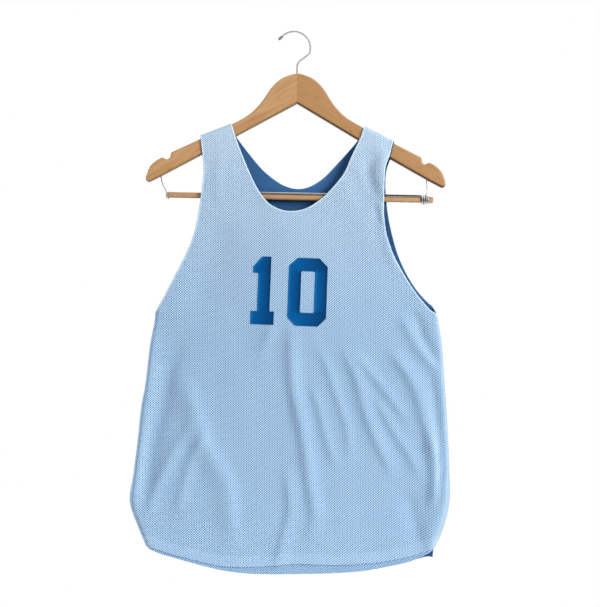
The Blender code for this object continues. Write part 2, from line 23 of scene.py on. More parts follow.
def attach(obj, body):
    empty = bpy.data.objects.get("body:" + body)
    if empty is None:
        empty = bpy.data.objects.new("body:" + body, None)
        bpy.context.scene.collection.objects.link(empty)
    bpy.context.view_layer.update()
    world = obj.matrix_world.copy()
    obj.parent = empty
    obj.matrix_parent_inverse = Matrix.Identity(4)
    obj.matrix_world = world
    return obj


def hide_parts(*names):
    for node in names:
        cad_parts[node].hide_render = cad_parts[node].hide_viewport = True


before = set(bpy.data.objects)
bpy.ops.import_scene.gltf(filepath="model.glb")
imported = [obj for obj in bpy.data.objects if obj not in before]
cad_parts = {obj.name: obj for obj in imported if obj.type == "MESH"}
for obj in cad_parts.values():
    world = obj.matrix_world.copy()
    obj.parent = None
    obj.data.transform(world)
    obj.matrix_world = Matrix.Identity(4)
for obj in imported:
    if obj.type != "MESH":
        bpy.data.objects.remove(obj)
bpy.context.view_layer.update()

MM = 0.001
FRONT, BACK = -1, 1
SIGN = {"left": -1, "right": 1}


def table(columns, *rows):
    """Rows whose columns have names."""
    kind = namedtuple("Row", columns)
    return [kind(*row) for row in rows]


# ---- the hanging form

# The hanging tube: its side edges from the centre line, and half its thickness.
SECTIONS = table(
    "drop left right depth",
    (110, 205, 211, 9.5),
    (250, 205, 211, 9.5),
    (330, 205, 211, 10.5),
    (415, 205, 211, 13),
    (460, 212.5, 217.5, 14),
    (520, 219.7, 221.7, 15),
    (550, 225.4, 223.8, 15.4),
    (600, 230.7, 226.7, 16),
    (650, 237, 228.6, 17.5),
    (690, 242.3, 228.7, 19),
    (730, 229, 219.4, 22),
    (758, 217, 206.9, 24),
    (776, 212, 204.2, 25),
    (820, 207, 196, 26),
)

# How far the tube's rounded sides reach across, as a share of its half thickness.
SIDE_ROUND = 0.55

# Armhole edges, from the centre line.
ARMHOLES = table(
    "drop front_left front_right back_left back_right",
    (182, 134.8, 140, 135.6, 142.4),
    (200, 133.6, 134, 133.6, 136.4),
    (220, 134.4, 132.2, 133.4, 134.6),
    (250, 138.4, 131.6, 134.4, 136.6),
    (275, 142.4, 132, 139.4, 139.9),
    (300, 148.4, 136, 146.4, 145.4),
    (328, 159.5, 145.5, 157.5, 153.7),
    (356, 173.7, 160, 171.7, 166.4),
    (380, 186, 175, 185, 181.4),
    (398, 195.6, 189, 195.6, 197.8),
    (405, 199.5, 195, 199.5, 206),
    (411, 203, 201.5, 203, 209.5),
)
UNDERARM = {"left": 416, "right": 419}

# The shoulder seams lie along the top of the hanger's arms, each from its outer to its inner end.
SHOULDERS = {
    "left": table("across drop", (-139, 152), (-94, 134.8)),
    "right": table("across drop", (147, 160.2), (105, 139.3)),
}
SHOULDER_BEND = 6.5

# A strap's edge starts at the shoulder seam with points at these shares of the way to its table.
STRAP_START = (0, 0.3, 0.6)

# Over its upper end, the right strap is this much wider in these plies, whose blue shows at its edge.
STRAP_OUT = {"back": 1.3, "front_inner": 1.6}
STRAP_OUT_ENDS = 250
STRAP_OUT_FADE = 75

# Necklines from the left shoulder to the right one, without their ends on the shoulder seams.
FRONT_NECK = table(
    "across drop",
    (-87, 153), (-77, 180), (-57.9, 224), (-40.8, 249.3), (-26, 259.4), (-13, 263.6), (-3, 264.2),
    (7, 263.1), (18, 259.7), (31, 252.3), (47.1, 239.4), (66.9, 217), (75.9, 203), (83, 186),
    (96.2, 158),
)
BACK_NECK = table(
    "across drop",
    (-85, 154), (-66.3, 179), (-46.3, 202.5), (-25.3, 219.5), (-9.3, 227.5), (4.7, 230.2),
    (18.7, 228.3), (32.7, 221.5), (49.7, 208), (82.7, 172), (94, 158),
)

# The free hems.  The blue front hangs lower than the white one in the middle.
HEMS = table(
    "across front_outer front_inner back",
    (-232, 753, 755, 755),
    (-207, 754.8, 758.6, 759.5),
    (-190, 760.3, 764.6, 766),
    (-138, 774, 779, 780),
    (-104, 781, 787, 786.2),
    (-60, 782, 792, 790),
    (0, 778, 792.3, 790),
    (60, 779.5, 791, 790),
    (105, 777, 787, 787),
    (138, 773, 781, 786.4),
    (170, 766, 773.5, 785),
    (190, 758.9, 765, 781.2),
    (204, 754.6, 760.6, 777.8),
    (219, 751, 758, 774),
)

# Creases: a ridge, or a trough where the height is below 0, along a path of (x, drop) points.  Its
# two flanks have widths of their own, and it fades towards both ends of its path.
FRONT_CREASES = table(
    "height left right path",
    # the long crease down the middle, and the one that joins it at the hem
    (6.9, 9.5, 12, ((-5, 408), (-4, 460), (-3, 512), (2, 541), (14, 599), (22, 658), (27, 687),
        (30, 706), (27, 728), (22, 763))),
    (4.8, 7.5, 13, ((-12, 631), (-8, 672), (-6, 694), (-9, 716), (-15, 738), (-21, 763), (-27, 795))),
    # the left side, where the cloth falls towards the seam
    (6.0, 18, 12, ((-168, 482), (-155, 526), (-141, 570), (-126, 614), (-108, 643), (-97, 668),
        (-95, 694), (-92, 716), (-89, 767))),
    (-5.0, 14, 13, ((-164, 439), (-173, 471), (-183, 497), (-193, 555), (-209, 614), (-214, 643),
        (-216, 672), (-215, 709))),
    (5.5, 8, 12, ((-204, 425), (-210, 480), (-214, 510), (-223, 580), (-227, 614), (-231, 650),
        (-233, 685), (-229, 710), (-221, 745))),
    (4.8, 9, 9, ((-146, 558), (-155, 585), (-170, 606), (-187, 639), (-196, 658), (-203, 675),
        (-209, 697), (-215, 728))),
    (4.0, 8, 10, ((-132, 577), (-138, 604), (-146, 621), (-154, 639), (-158, 658), (-164, 680),
        (-171, 713))),
    # the fan of slanting creases on the right
    (2.9, 7, 7, ((23, 509), (27, 523), (35, 548), (42, 577), (48, 599), (55, 621), (64, 650))),
    (3.1, 7, 8, ((29, 446), (36, 465), (45, 485), (60, 529), (68, 552), (76, 577), (80, 606),
        (83, 640))),
    (4.7, 8, 11, ((67, 450), (74, 468), (92, 512), (102, 552), (115, 588), (130, 621), (138, 640),
        (149, 672))),
    (3.1, 7, 8, ((81, 460), (99, 485), (111, 500), (134, 529), (154, 558), (166, 579))),
    (3.1, 7, 9, ((114, 529), (128, 555), (147, 589), (168, 621), (176, 639), (185, 663))),
    (5.7, 9, 12, ((137, 453), (152, 482), (170, 510), (182, 539), (191, 573), (197, 590), (201, 609),
        (206, 636))),
    # below the right armhole and down the right edge
    (3.0, 8, 7, ((154, 409), (162, 427), (170, 446), (181, 465), (194, 481), (211, 506))),
    (-3.4, 7, 8, ((172, 404), (178, 417), (182, 431), (189, 450), (198, 468), (213, 497))),
    (-3.2, 8, 7, ((195, 490), (203, 526), (206, 548), (208, 570), (211, 595), (214, 636))),
    (7.0, 8.5, 6, ((197, 582), (201, 610), (204, 640), (204, 675), (201, 704))),
    (-2.6, 6, 6, ((223, 621), (219, 636), (213, 655), (208, 675), (203, 704))),
    (7.5, 18, 9, ((219, 646), (217, 680), (210, 708), (203, 728), (195, 750), (189, 772))),
    (-3.4, 13, 10, ((166, 668), (170, 700), (176, 722), (182, 742), (190, 770))),
    # the straps and the chest
    (5.2, 15, 7.5, ((133, 158), (130, 179), (128, 198), (128, 220), (129, 239), (131, 268))),
    (-3.2, 9, 8, ((142, 150), (135, 172), (122, 184), (110, 196), (109, 210), (114, 226), (122, 246),
        (128, 262))),
    (1.8, 4, 4, ((125, 250), (127, 262), (128, 272), (129, 284))),
    (-1.2, 5, 4, ((117, 250), (119, 262), (121, 272), (124, 284))),
    (-1.6, 14, 14, ((84, 196), (86, 214), (94, 236), (104, 262))),
    (1.5, 9, 9, ((-108, 168), (-111, 198), (-113, 227), (-107, 263))),
    (5.0, 75, 80, ((-6, 249), (-9, 322), (-11, 395), (-9, 482))),
    (-2.6, 22, 30, ((-116, 262), (-120, 322), (-130, 373), (-142, 424))),
    (2.0, 7, 5, ((130, 253), (131, 271), (134, 307), (143, 336), (154, 363))),
    (2.4, 8, 10, ((-32, 406), (-35, 421), (-38, 446), (-44, 468), (-56, 504))),
    (1.7, 8, 9, ((-20, 424), (-37, 447), (-62, 476), (-90, 503), (-117, 530))),
)
BACK_CREASES = table(
    "height left right path",
    # the long crease down the middle, and the one beside it at the hem
    (5.2, 12, 12, ((14, 420), (12, 470), (4, 560), (-8, 640), (-22, 700), (-27, 750))),
    (3.8, 10, 10, ((38, 610), (42, 670), (47, 740), (53, 820))),
    # the two sides
    (5.4, 12, 16, ((160, 455), (150, 500), (134, 575), (118, 640), (106, 700), (101, 748))),
    (4.0, 9, 9, ((182, 540), (192, 590), (199, 650), (198, 700), (194, 735))),
    (-4.4, 12, 12, ((176, 430), (184, 470), (196, 530), (206, 580))),
    (-4.0, 12, 12, ((-168, 425), (-178, 470), (-192, 540), (-204, 600), (-210, 680))),
    (4.6, 9, 11, ((-150, 480), (-163, 520), (-178, 575), (-190, 640), (-198, 700))),
    # the slanting creases between them
    (4.0, 11, 10, ((-74, 455), (-86, 510), (-104, 565), (-124, 620), (-145, 675), (-152, 705))),
    (3.0, 8, 9, ((64, 440), (58, 500), (60, 560), (70, 620), (78, 655))),
    (2.8, 8, 8, ((-34, 480), (-46, 540), (-60, 600), (-70, 660))),
    (3.0, 9, 9, ((-96, 440), (-112, 480), (-130, 520), (-142, 555))),
    (-3.0, 11, 11, ((-30, 620), (-40, 690), (-52, 750), (-62, 815))),
    # the straps and the shoulder blades
    (1.6, 10, 8, ((-122, 170), (-118, 200), (-116, 240), (-120, 275))),
    (4.0, 80, 75, ((10, 235), (12, 322), (10, 395), (8, 482))),
)

# The share of its path over which a crease fades at each end, and the reach its slant is taken over.
CREASE_FADE = 0.24
SLANT_REACH = 4

# ---- cloth, edges and stitches

# A ply: the distances from the outer face of the jersey to the face that shows and to the other one.
OUTER_PLY = (0.0, -0.75)
INNER_PLY = (-2.25, -1.5)
MEETING = -1.125

# Neck and armholes: the two plies are turned in, meet in a rounded rim and are topstitched.
TURNED_EDGE = 2.9
TURNED_LIFT = 0.3
TURNED_START = 0.5
TURNED_ROUND = 1.1
HIDDEN_ROUND = 0.6
RIM_SHOWN = 0.14
RIM_HIDDEN = 0.12
STITCH_GROOVE = 0.28
GROOVE_WIDTH = 0.55

# Hems: each ply is turned up and stitched with two rows.
HEM_DEPTH = 14.6
HEM_LIFT = 0.16
HEM_START = 0.3
HEM_ROUND = 0.7
HEM_RIM = 0.05
HEM_ROWS = (12.2, 15.0)
HEM_ROW_ENDS = 8
HEM_GROOVE = 0.7 * STITCH_GROOVE
HEM_STITCH_LIFT = 0.1
HEM_FLARE = 1.2
HEM_FLARE_REACH = 30
FLARE_CLEAR_OF_SEAMS = 30

# Side and shoulder seams: a shallow dip that starts a little way in from the turned edges.
SEAM_DIP = 0.5
SEAM_WIDTH = 1.6
SEAM_STARTS = 2
SEAM_FADE = 6

STITCH_LENGTH = 2.3
STITCH_PITCH = 2.9
THREAD_RADIUS = 0.2
THREAD_SIDES = 6

# Rings along a stitch: share of its length, height above its row and share of the thread's radius.
STITCH_SHAPE = table(
    "along up thick",
    (0, -0.3, 0.35), (0.15, 0, 0.85), (0.5, 0.16, 1), (0.85, 0, 0.85), (1, -0.3, 0.35),
)

# ---- numerals

NUMERAL_HEIGHT = 99.5
STROKE = 18.4
CROSS_STROKE = 19.5
CHAMFER = 12
COUNTER_CHAMFER = 1.5
ONE_FOOT = 34.5
ONE_STEM_INSET = 9.3
ONE_FLAG_INSET = 1.4
ONE_FLAG_RISE = (75, 84.5)
ZERO_WIDTH = 56.8
NUMERAL_SPACE = 19.2
NUMERAL_CENTRE = (-7.6, 382.3)
NUMERAL_TURN = math.radians(2.2)
FILM = (0.5, 0.08)
FILM_ROUND = 0.5
FILM_RIM = 0.05

# ---- the net of triangles

NET_ACROSS = 3.0
NET_DOWN = 3.6
EDGE_STEP = 2.4
EDGE_ROWS = (0.35, 0.9, 1.5, 2.2, 2.9, 3.6, 4.5)
HEM_NET_ROWS = (0.3, 0.8, 2.2, 11.6, 12.2, 12.8, 14.4, 15.0, 15.6)
FILM_STEP = 1.6
FILM_ROWS = (0.25, 0.7, 1.6, 2.8, 4.2)
FILM_CLEAR = 1
LINE_STEP = 0.25

# A spot of a row is dropped where the whole edge is nearer than this share of the row's inset.
ROW_KEPT = 0.9

# How far the even spots keep from the rows along the edges, the hem and the whole edge.
EDGE_CLEAR = EDGE_ROWS[-1] + 1.5
HEM_CLEAR = 3.6
HEM_BAND = 13.6
HEM_BAND_CLEAR = 3.4
LOOP_CLEAR = 1.3

# ---- the hanger's sizes

HANGER_TURN = math.radians(1.15)
HANGER_AXIS = 6.3
HANGER_THICKNESS = 13
HANGER_EASE = 2.6
HANGER_CROWN = 61.6
CROWN = table(
    "out drop",
    (-13, 64.6), (-5, 62.1), (0, 61.6), (5, 62.1), (13, 64.6), (22, 68.5), (30.8, 75.2), (38, 82.8),
    (43.4, 90.4), (48.3, 98.4), (53.7, 106), (60.5, 113.9), (68.5, 121.6), (79, 129), (97, 138.9),
)
ARM_END = table(
    "out drop",
    (183.6, 181.2), (184.9, 182.7), (185.3, 186.4), (186.4, 189.4), (188.4, 191.1), (190.4, 191.3),
    (192.4, 190.5), (194.6, 189.3), (197, 188.8),
)
TIP = table(
    "out drop",
    (203, 191.9), (209, 196.3), (214, 201.6), (217.8, 208.6), (219.8, 214.8), (220.6, 219.6),
    (219.8, 223), (217.6, 224.6), (214.6, 224.3),
)
UNDERSIDES = {
    "left": table("out drop", (196, 214.5), (140, 183.5), (88, 154.3)),
    "right": table("out drop", (196, 214.9), (140, 184.6), (88, 155.4)),
}
APEX_DROP = 105
ARM_SLOPE = math.radians(32)
SHARP = math.radians(35)

HOOK_RADIUS = 24
HOOK_WIRE = 1.3
HOOK_ARC = range(137, -31, -12)
STEM_AXIS = 5
HOOK_BEND = ((16, 36.6), (10.6, 40.6), (6.7, 44.6), (STEM_AXIS, 50))
HOOK_TIP_RADIUS = 1.9
HOOK_TIP_LENGTH = 7.5
HOOK_TIP_SINK = 0.2
HOOK_TIP_POINTS = 10
STEM_TOP = 5
STEM_DEPTH = 15

BAR_RADIUS = 4.2
BAR_DROP = 243.3
BAR_ENDS = (-184, 209.3)
BAR_EASE = 0.7
BAR_SIDES = 32
WIRE = 1.0
WIRE_ORBIT = BAR_RADIUS + WIRE + 0.1
WIRE_PITCH = 2.8
LOCK_WIRE = 1.3
LOCK_ORBIT = BAR_RADIUS + LOCK_WIRE + 0.3
BORE_DEPTH = 9
LOCK_RUN = (-92, 192.6)

# The locking wire has painted shade right of a place, and the other wires nowhere.
LOCK_SHADED_FROM = 118
NEVER_SHADED = 400

LOCK_BEND = 3
LOCK_PIECES = 4
LOCK_TURNS = (0, 720)
BAR_WIRES = table(
    "hand across drop way ring_start turns",
    ("left", -191.9, 214.5, ((-191.2, 0, 222), (-188.3, -1.6, 230), (-184.2, -4.8, 237)), -182, (90, 330)),
    ("right", 199.2, 214.5, ((199.3, -2.2, 226.5), (199.1, -4.6, 234.5)), 199.4, (60, 690)),
)
STRAIGHT_OUT = 2
DEGREES_A_STEP = 10

# ---- camera, lights and floor

CAMERA_PLACE = (8.4, -1500, -399.9)
VIEW_HEIGHT = 895.3
SENSOR = 36
FLOOR_DROP = 1080
FLOOR_RADIUS = 620

# The surroundings' light on cloth and in bright surfaces, from below and from above, and its tint.
SOFT_LIGHT = (0.17, 0.37)
MIRRORED_LIGHT = (0.4, 0.9)
LOW_TO_HIGH = (-0.5, 0.6)
AIR_TINT = (0.91, 0.915, 1.0, 1)

# The square lights, in metres and watts.
LIGHTS = table(
    "name place size power",
    ("key", (2.77, -2.32, 0.77), 1.7, 150),
    ("fill", (-2.95, -0.9, 0.1), 1.8, 30),
    ("back", (-2.4, 2.4, 0.77), 1.7, 120),
)
LIGHT_TARGET = (0, 0, -0.4)
LIGHT_TINT = (0.98, 1, 0.97)

# ---- curves through table rows


def smooth(points, step):
    """Points about a step apart on the smooth curve through the given ones, both ends included."""
    rows = np.array([points[0], *points, points[-1]], float)
    curve = []
    for b, a, d, c in zip(rows, rows[1:], rows[2:], rows[3:]):
        pieces = max(1, round(math.dist(a, d) / step))
        t = np.arange(pieces)[:, None] / pieces
        squared = (2 * b - 5 * a + 4 * d - c) * t**2
        cubed = (3 * a - b - 3 * d + c) * t**3
        curve.append(0.5 * (2 * a + (d - b) * t + squared + cubed))
    return np.vstack([*curve, rows[-1:]])


def lengths(line):
    """How far along a line of points each of them is."""
    return np.concatenate([[0], np.cumsum(np.linalg.norm(np.diff(line, axis=0), axis=1))])


def along_curve(keys, values, key):
    """Values at the given keys, on the smooth curve through (keys, values)."""
    keys, values = np.array(keys, float), np.array(values, float)
    low = np.maximum(np.arange(len(keys)) - 1, 0)
    high = np.minimum(np.arange(len(keys)) + 1, len(keys) - 1)
    slopes = (values[high] - values[low]) / (keys[high] - keys[low])
    key = np.clip(key, keys[0], keys[-1])
    k = np.clip(np.searchsorted(keys, key, side="right") - 1, 0, len(keys) - 2)
    span = keys[k + 1] - keys[k]
    t = (key - keys[k]) / span
    return (
        values[k] * (1 + 2 * t) * (1 - t) ** 2
        + values[k + 1] * t**2 * (3 - 2 * t)
        + span * (slopes[k] * t * (1 - t) ** 2 - slopes[k + 1] * t**2 * (1 - t))
    )


def read(rows, key, name):
    """A table column's values at the given keys, which are read against its first column."""
    return along_curve([row[0] for row in rows], [getattr(row, name) for row in rows], key)


def soft_step(value):
    """0 below 0, 1 above 1, and an easy rise between them."""
    t = np.clip(value, 0, 1)
    return t * t * (3 - 2 * t)


# ---- the cloth's surface


def bend_length(reach, along):
    """Length of cloth round a quarter of an ellipse with these two half axes."""
    return math.pi / 2 * np.sqrt((reach**2 + along**2) / 2)


def roll(length, reach, along):
    """Distance from the edge and share of the full depth, a length of cloth in from the edge."""
    bend = bend_length(reach, along)
    turn = np.minimum(length / bend, 1) * math.pi / 2
    return along * (1 - np.cos(turn)) + np.maximum(length - bend, 0), np.sin(turn)


def unroll(inset, reach, along):
    """Length of cloth from the edge to a place this far in from it."""
    bend = bend_length(reach, along)
    if inset >= along:
        return inset - along + bend
    return bend * math.acos(1 - inset / along) / (math.pi / 2)


def flat_side(hand, drop):
    """How far across the flat panel its side edge lies."""
    depth = read(SECTIONS, drop, "depth")
    along = depth * SIDE_ROUND
    return read(SECTIONS, drop, hand) - along + bend_length(depth, along)


def shoulder_line(hand, across):
    """Drop of one shoulder seam's line above a place across the panel."""
    outer, inner = SHOULDERS[hand]
    slope = (outer.drop - inner.drop) / (outer.across - inner.across)
    return inner.drop + slope * (across - inner.across)


def by_hand(across, left, right):
    """The left value where the place is left of the centre line, and the right one elsewhere."""
    return np.where(across < 0, left, right)


def shoulder_drop(across):
    """Drop of the shoulder seam's line above a place across the panel."""
    return by_hand(across, shoulder_line("left", across), shoulder_line("right", across))


def flat_shoulder(across):
    """How far down the flat panel its shoulder edge lies."""
    depth = SECTIONS[0].depth
    return shoulder_drop(across) + SHOULDER_BEND - bend_length(depth, SHOULDER_BEND)


def crease_relief(crease, x, drop):
    """Height of one crease at the given places."""
    xs, drops = zip(*crease.path)
    share = (drop - drops[0]) / (drops[-1] - drops[0])
    fade = soft_step(share / CREASE_FADE) * soft_step((1 - share) / CREASE_FADE)
    crest = along_curve(drops, xs, drop)
    before, after = (along_curve(drops, xs, drop + reach) for reach in (-SLANT_REACH, SLANT_REACH))
    away = (x - crest) / np.sqrt(1 + ((after - before) / (2 * SLANT_REACH)) ** 2)
    width = np.where(away < 0, crease.left, crease.right)
    return crease.height * fade * np.exp(-((away / width) ** 2))


def undulation(side, x, drop):
    """The slight unevenness of a soft knit that hangs by two straps."""
    return (
        0.30 * np.sin(x / 17 + side) * np.sin(drop / 29 + 1.3)
        + 0.22 * np.sin(x / 9.5 - drop / 41 + 2.0 * side)
        + 0.25 * np.sin(x / 31 + drop / 23 + 0.7)
    )


def hang(side, across, down):
    """Where the jersey's outer face hangs, from places on the flat panel."""
    inset, rise = roll(down - flat_shoulder(across), SECTIONS[0].depth, SHOULDER_BEND)
    drop = shoulder_drop(across) + inset
    depth = read(SECTIONS, drop, "depth")
    edge = by_hand(across, flat_side("left", drop), flat_side("right", drop))
    inset, bulge = roll(edge - abs(across), depth, depth * SIDE_ROUND)
    out = by_hand(across, read(SECTIONS, drop, "left"), read(SECTIONS, drop, "right"))
    x = np.copysign(out - inset, across)
    creases = FRONT_CREASES if side == FRONT else BACK_CREASES
    relief = undulation(side, x, drop) + sum(crease_relief(crease, x, drop) for crease in creases)
    return np.stack([x, side * (depth + relief) * bulge * rise, -drop], axis=1)


def surface(side, spots, height):
    """Places at a height above the jersey's outer face, over spots of the flat panel."""
    across, down = np.asarray(spots, float).T
    reach = 0.5
    crosswise = hang(side, across + reach, down) - hang(side, across - reach, down)
    downwards = hang(side, across, down + reach) - hang(side, across, down - reach)
    outward = np.cross(crosswise, downwards) * side
    outward /= np.linalg.norm(outward, axis=1)[:, None]
    return hang(side, across, down) + outward * np.reshape(height, (-1, 1))


# ---- the flat panels


def over_shoulder(across, spot):
    """Start of a strap's edge, from its end on the shoulder seam."""
    start = float(flat_shoulder(np.float64(across)))
    return [(across + (spot[0] - across) * k, start + (spot[1] - start) * k) for k in STRAP_START]


def armhole(side, hand, ply):
    """Armhole edge of a flat panel, from the shoulder down to the underarm."""
    name = ("front_" if side == FRONT else "back_") + hand
    wider = STRAP_OUT.get(ply, 0) if hand == "right" else 0
    spots = []
    for row in ARMHOLES:
        depth = float(read(SECTIONS, row.drop, "depth"))
        more = wider * float(soft_step((STRAP_OUT_ENDS - row.drop) / STRAP_OUT_FADE))
        inset = float(read(SECTIONS, row.drop, hand)) - getattr(row, name) - more
        across = float(flat_side(hand, row.drop)) - unroll(inset, depth, depth * SIDE_ROUND)
        spots.append((SIGN[hand] * across, row.drop))
    low = UNDERARM[hand]
    spots.append((SIGN[hand] * float(flat_side(hand, low)), low))
    return smooth(over_shoulder(SHOULDERS[hand][0].across + wider, spots[0]) + spots, EDGE_STEP)


def side_seam(hand, hem_name):
    """Side edge of a flat panel, from the underarm to the hem."""
    low, foot = UNDERARM[hand], getattr(HEMS[0] if hand == "left" else HEMS[-1], hem_name)
    drops = np.linspace(low, foot, round((foot - low) / EDGE_STEP) + 1)
    return np.stack([SIGN[hand] * flat_side(hand, drops), drops], axis=1)


def neckline(side):
    """Neck edge of a flat panel, from the left shoulder to the right one."""
    spots = list(FRONT_NECK if side == FRONT else BACK_NECK)
    left = over_shoulder(SHOULDERS["left"][1].across, spots[0])
    right = over_shoulder(SHOULDERS["right"][1].across, spots[-1])
    return smooth(left + spots + right[::-1], EDGE_STEP)


def shoulder_seam(hand):
    """Shoulder edge of a flat panel, from the armhole to the neck."""
    outer, inner = SHOULDERS[hand]
    count = round(abs(outer.across - inner.across) / EDGE_STEP) + 1
    across = np.linspace(outer.across, inner.across, count)
    return np.stack([across, flat_shoulder(across)], axis=1)


def hem(name):
    """A hem of a flat panel, from its right corner to its left one."""
    corners = [(row.across, getattr(row, name)) for row in HEMS]
    left, right = corners[0][1], corners[-1][1]
    ends = (-float(flat_side("left", left)), left), (float(flat_side("right", right)), right)
    return smooth([ends[0], *corners[1:-1], ends[1]], EDGE_STEP)[::-1]


Panel = namedtuple("Panel", "side edges seams hem")


def cut_panel(side, hem_name):
    """The edges of a flat panel, each in the order in which they run round it."""
    edges = [armhole(side, "left", hem_name)[::-1], neckline(side), armhole(side, "right", hem_name)]
    seams = [
        shoulder_seam("left"),
        shoulder_seam("right")[::-1],
        side_seam("right", hem_name),
        side_seam("left", hem_name)[::-1],
    ]
    return Panel(side, edges, seams, hem(hem_name))


def panel_loop(panel):
    """The whole edge of a flat panel, all the way round, without doubled corners."""
    order = [line for pair in zip(panel.edges, panel.seams) for line in pair]
    return np.vstack([stretch[:-1] for stretch in [*order, panel.hem, panel.seams[-1]]])


def distance(spots, line, closed=False):
    """How far each spot is from a line of points."""
    ends = np.vstack([line, line[:1]]) if closed else line
    along = lengths(ends)
    at = np.linspace(0, along[-1], math.ceil(along[-1] / LINE_STEP) + 1)
    tree = KDTree(len(at))
    for k, place in enumerate(zip(np.interp(at, along, ends[:, 0]), np.interp(at, along, ends[:, 1]))):
        tree.insert((*place, 0), k)
    tree.balance()
    return np.array([tree.find((across, down, 0))[2] for across, down in spots])


def nearest(spots, lines, closed=False):
    """How far each spot is from the nearest of several lines."""
    return np.min([distance(spots, line, closed) for line in lines], axis=0)


def inner_row(line, inset):
    """A line moved into the panel, which lies on its left."""
    steps = np.gradient(line, axis=0)
    steps /= np.linalg.norm(steps, axis=1)[:, None]
    return line + np.stack([-steps[:, 1], steps[:, 0]], axis=1) * inset


def lattice(low, high):
    """Spots over a rectangle, with every other row shifted by half a step."""
    rows = np.arange(math.floor(low[1] / NET_DOWN), math.ceil(high[1] / NET_DOWN) + 1)
    columns = np.arange(math.floor(low[0] / NET_ACROSS), math.ceil(high[0] / NET_ACROSS) + 1)
    column, row = np.meshgrid(columns, rows)
    return np.stack([(column + row % 2 / 2) * NET_ACROSS, row * NET_DOWN], axis=2).reshape(-1, 2)


def triangulate(loops, inner):
    """Triangles over the first loop, without those inside a second one."""
    faces, start = [], 0
    for loop in loops:
        faces.append(list(range(start, start + len(loop))))
        start += len(loop)
    spots = [Vector(spot) for spot in np.vstack([*loops, inner])]
    made = delaunay_2d_cdt(spots, [], faces, 0, 0.001, True)
    kept = [face for face, owners in zip(made[2], made[5]) if set(owners) == {0}]
    used, corners = np.unique(np.array(kept), return_inverse=True)
    return np.array([tuple(spot) for spot in made[0]])[used], corners.reshape(-1, 3)


def net_of_panel(panel):
    """Spots and triangles over a flat panel, with close rows along its turned edges and its hem."""
    loop = panel_loop(panel)
    plan = [(edge, inset) for edge in panel.edges for inset in EDGE_ROWS]
    plan += [(panel.hem, inset) for inset in HEM_NET_ROWS]
    rows = np.vstack([inner_row(line, inset) for line, inset in plan])
    insets = np.concatenate([np.full(len(line), inset) for line, inset in plan])
    rows = rows[distance(rows, loop, closed=True) > insets * ROW_KEPT]
    middle = lattice(loop.min(0), loop.max(0))
    to_hem = distance(middle, panel.hem)
    clear = (nearest(middle, panel.edges) > EDGE_CLEAR) & (distance(middle, loop, closed=True) > LOOP_CLEAR)
    clear &= (to_hem > HEM_CLEAR) & (np.abs(to_hem - HEM_BAND) > HEM_BAND_CLEAR)
    return triangulate([loop], np.vstack([rows, middle[clear]]))


def dome(share):
    """Rise of a rounded rim from 0 at its edge to 1."""
    return np.sqrt(1 - (1 - np.clip(share, 0, 1)) ** 2)


def raised(rim, height, share):
    """Heights that round off from a rim's height to the full one."""
    return rim + (height - rim) * dome(share)


def ply_heights(panel, spots, ply):
    """Heights of a ply's shown face and of its other face over the spots, with its edges worked in."""
    face, other = ply
    out = 1 if face > other else -1
    to_edge, to_hem = nearest(spots, panel.edges), distance(spots, panel.hem)
    to_seam = nearest(spots, panel.seams)

    lift = TURNED_LIFT * (1 - soft_step(to_edge - TURNED_EDGE + TURNED_START))
    lift -= STITCH_GROOVE * np.exp(-(((to_edge - TURNED_EDGE) / GROOVE_WIDTH) ** 2))
    lift += HEM_LIFT * (1 - soft_step(to_hem - HEM_DEPTH - HEM_START))
    for row in HEM_ROWS:
        lift -= HEM_GROOVE * np.exp(-(((to_hem - row) / GROOVE_WIDTH) ** 2))
    dip = SEAM_DIP * np.exp(-((to_seam / SEAM_WIDTH) ** 2))
    lift -= dip * soft_step((to_edge - SEAM_STARTS) / SEAM_FADE)
    top = face + out * lift
    bottom = other - out * HEM_LIFT * (1 - soft_step(to_hem - HEM_DEPTH))

    # Both faces meet in a rounded rim at the turned edges and at the hem.
    middle = (face + other) / 2
    turned, folded = to_edge / TURNED_ROUND, to_hem / HEM_ROUND
    top = raised(MEETING + out * RIM_SHOWN, top, turned)
    bottom = raised(MEETING + out * (RIM_SHOWN - RIM_HIDDEN), bottom, turned / HIDDEN_ROUND)
    top = raised(middle + out * HEM_RIM, top, folded)
    bottom = raised(middle - out * HEM_RIM, bottom, folded)
    flare = HEM_FLARE * (1 - soft_step(to_hem / HEM_FLARE_REACH)) ** 2
    flare *= soft_step(to_seam / FLARE_CLEAR_OF_SEAMS)
    return top + flare, bottom + flare, to_edge, to_hem


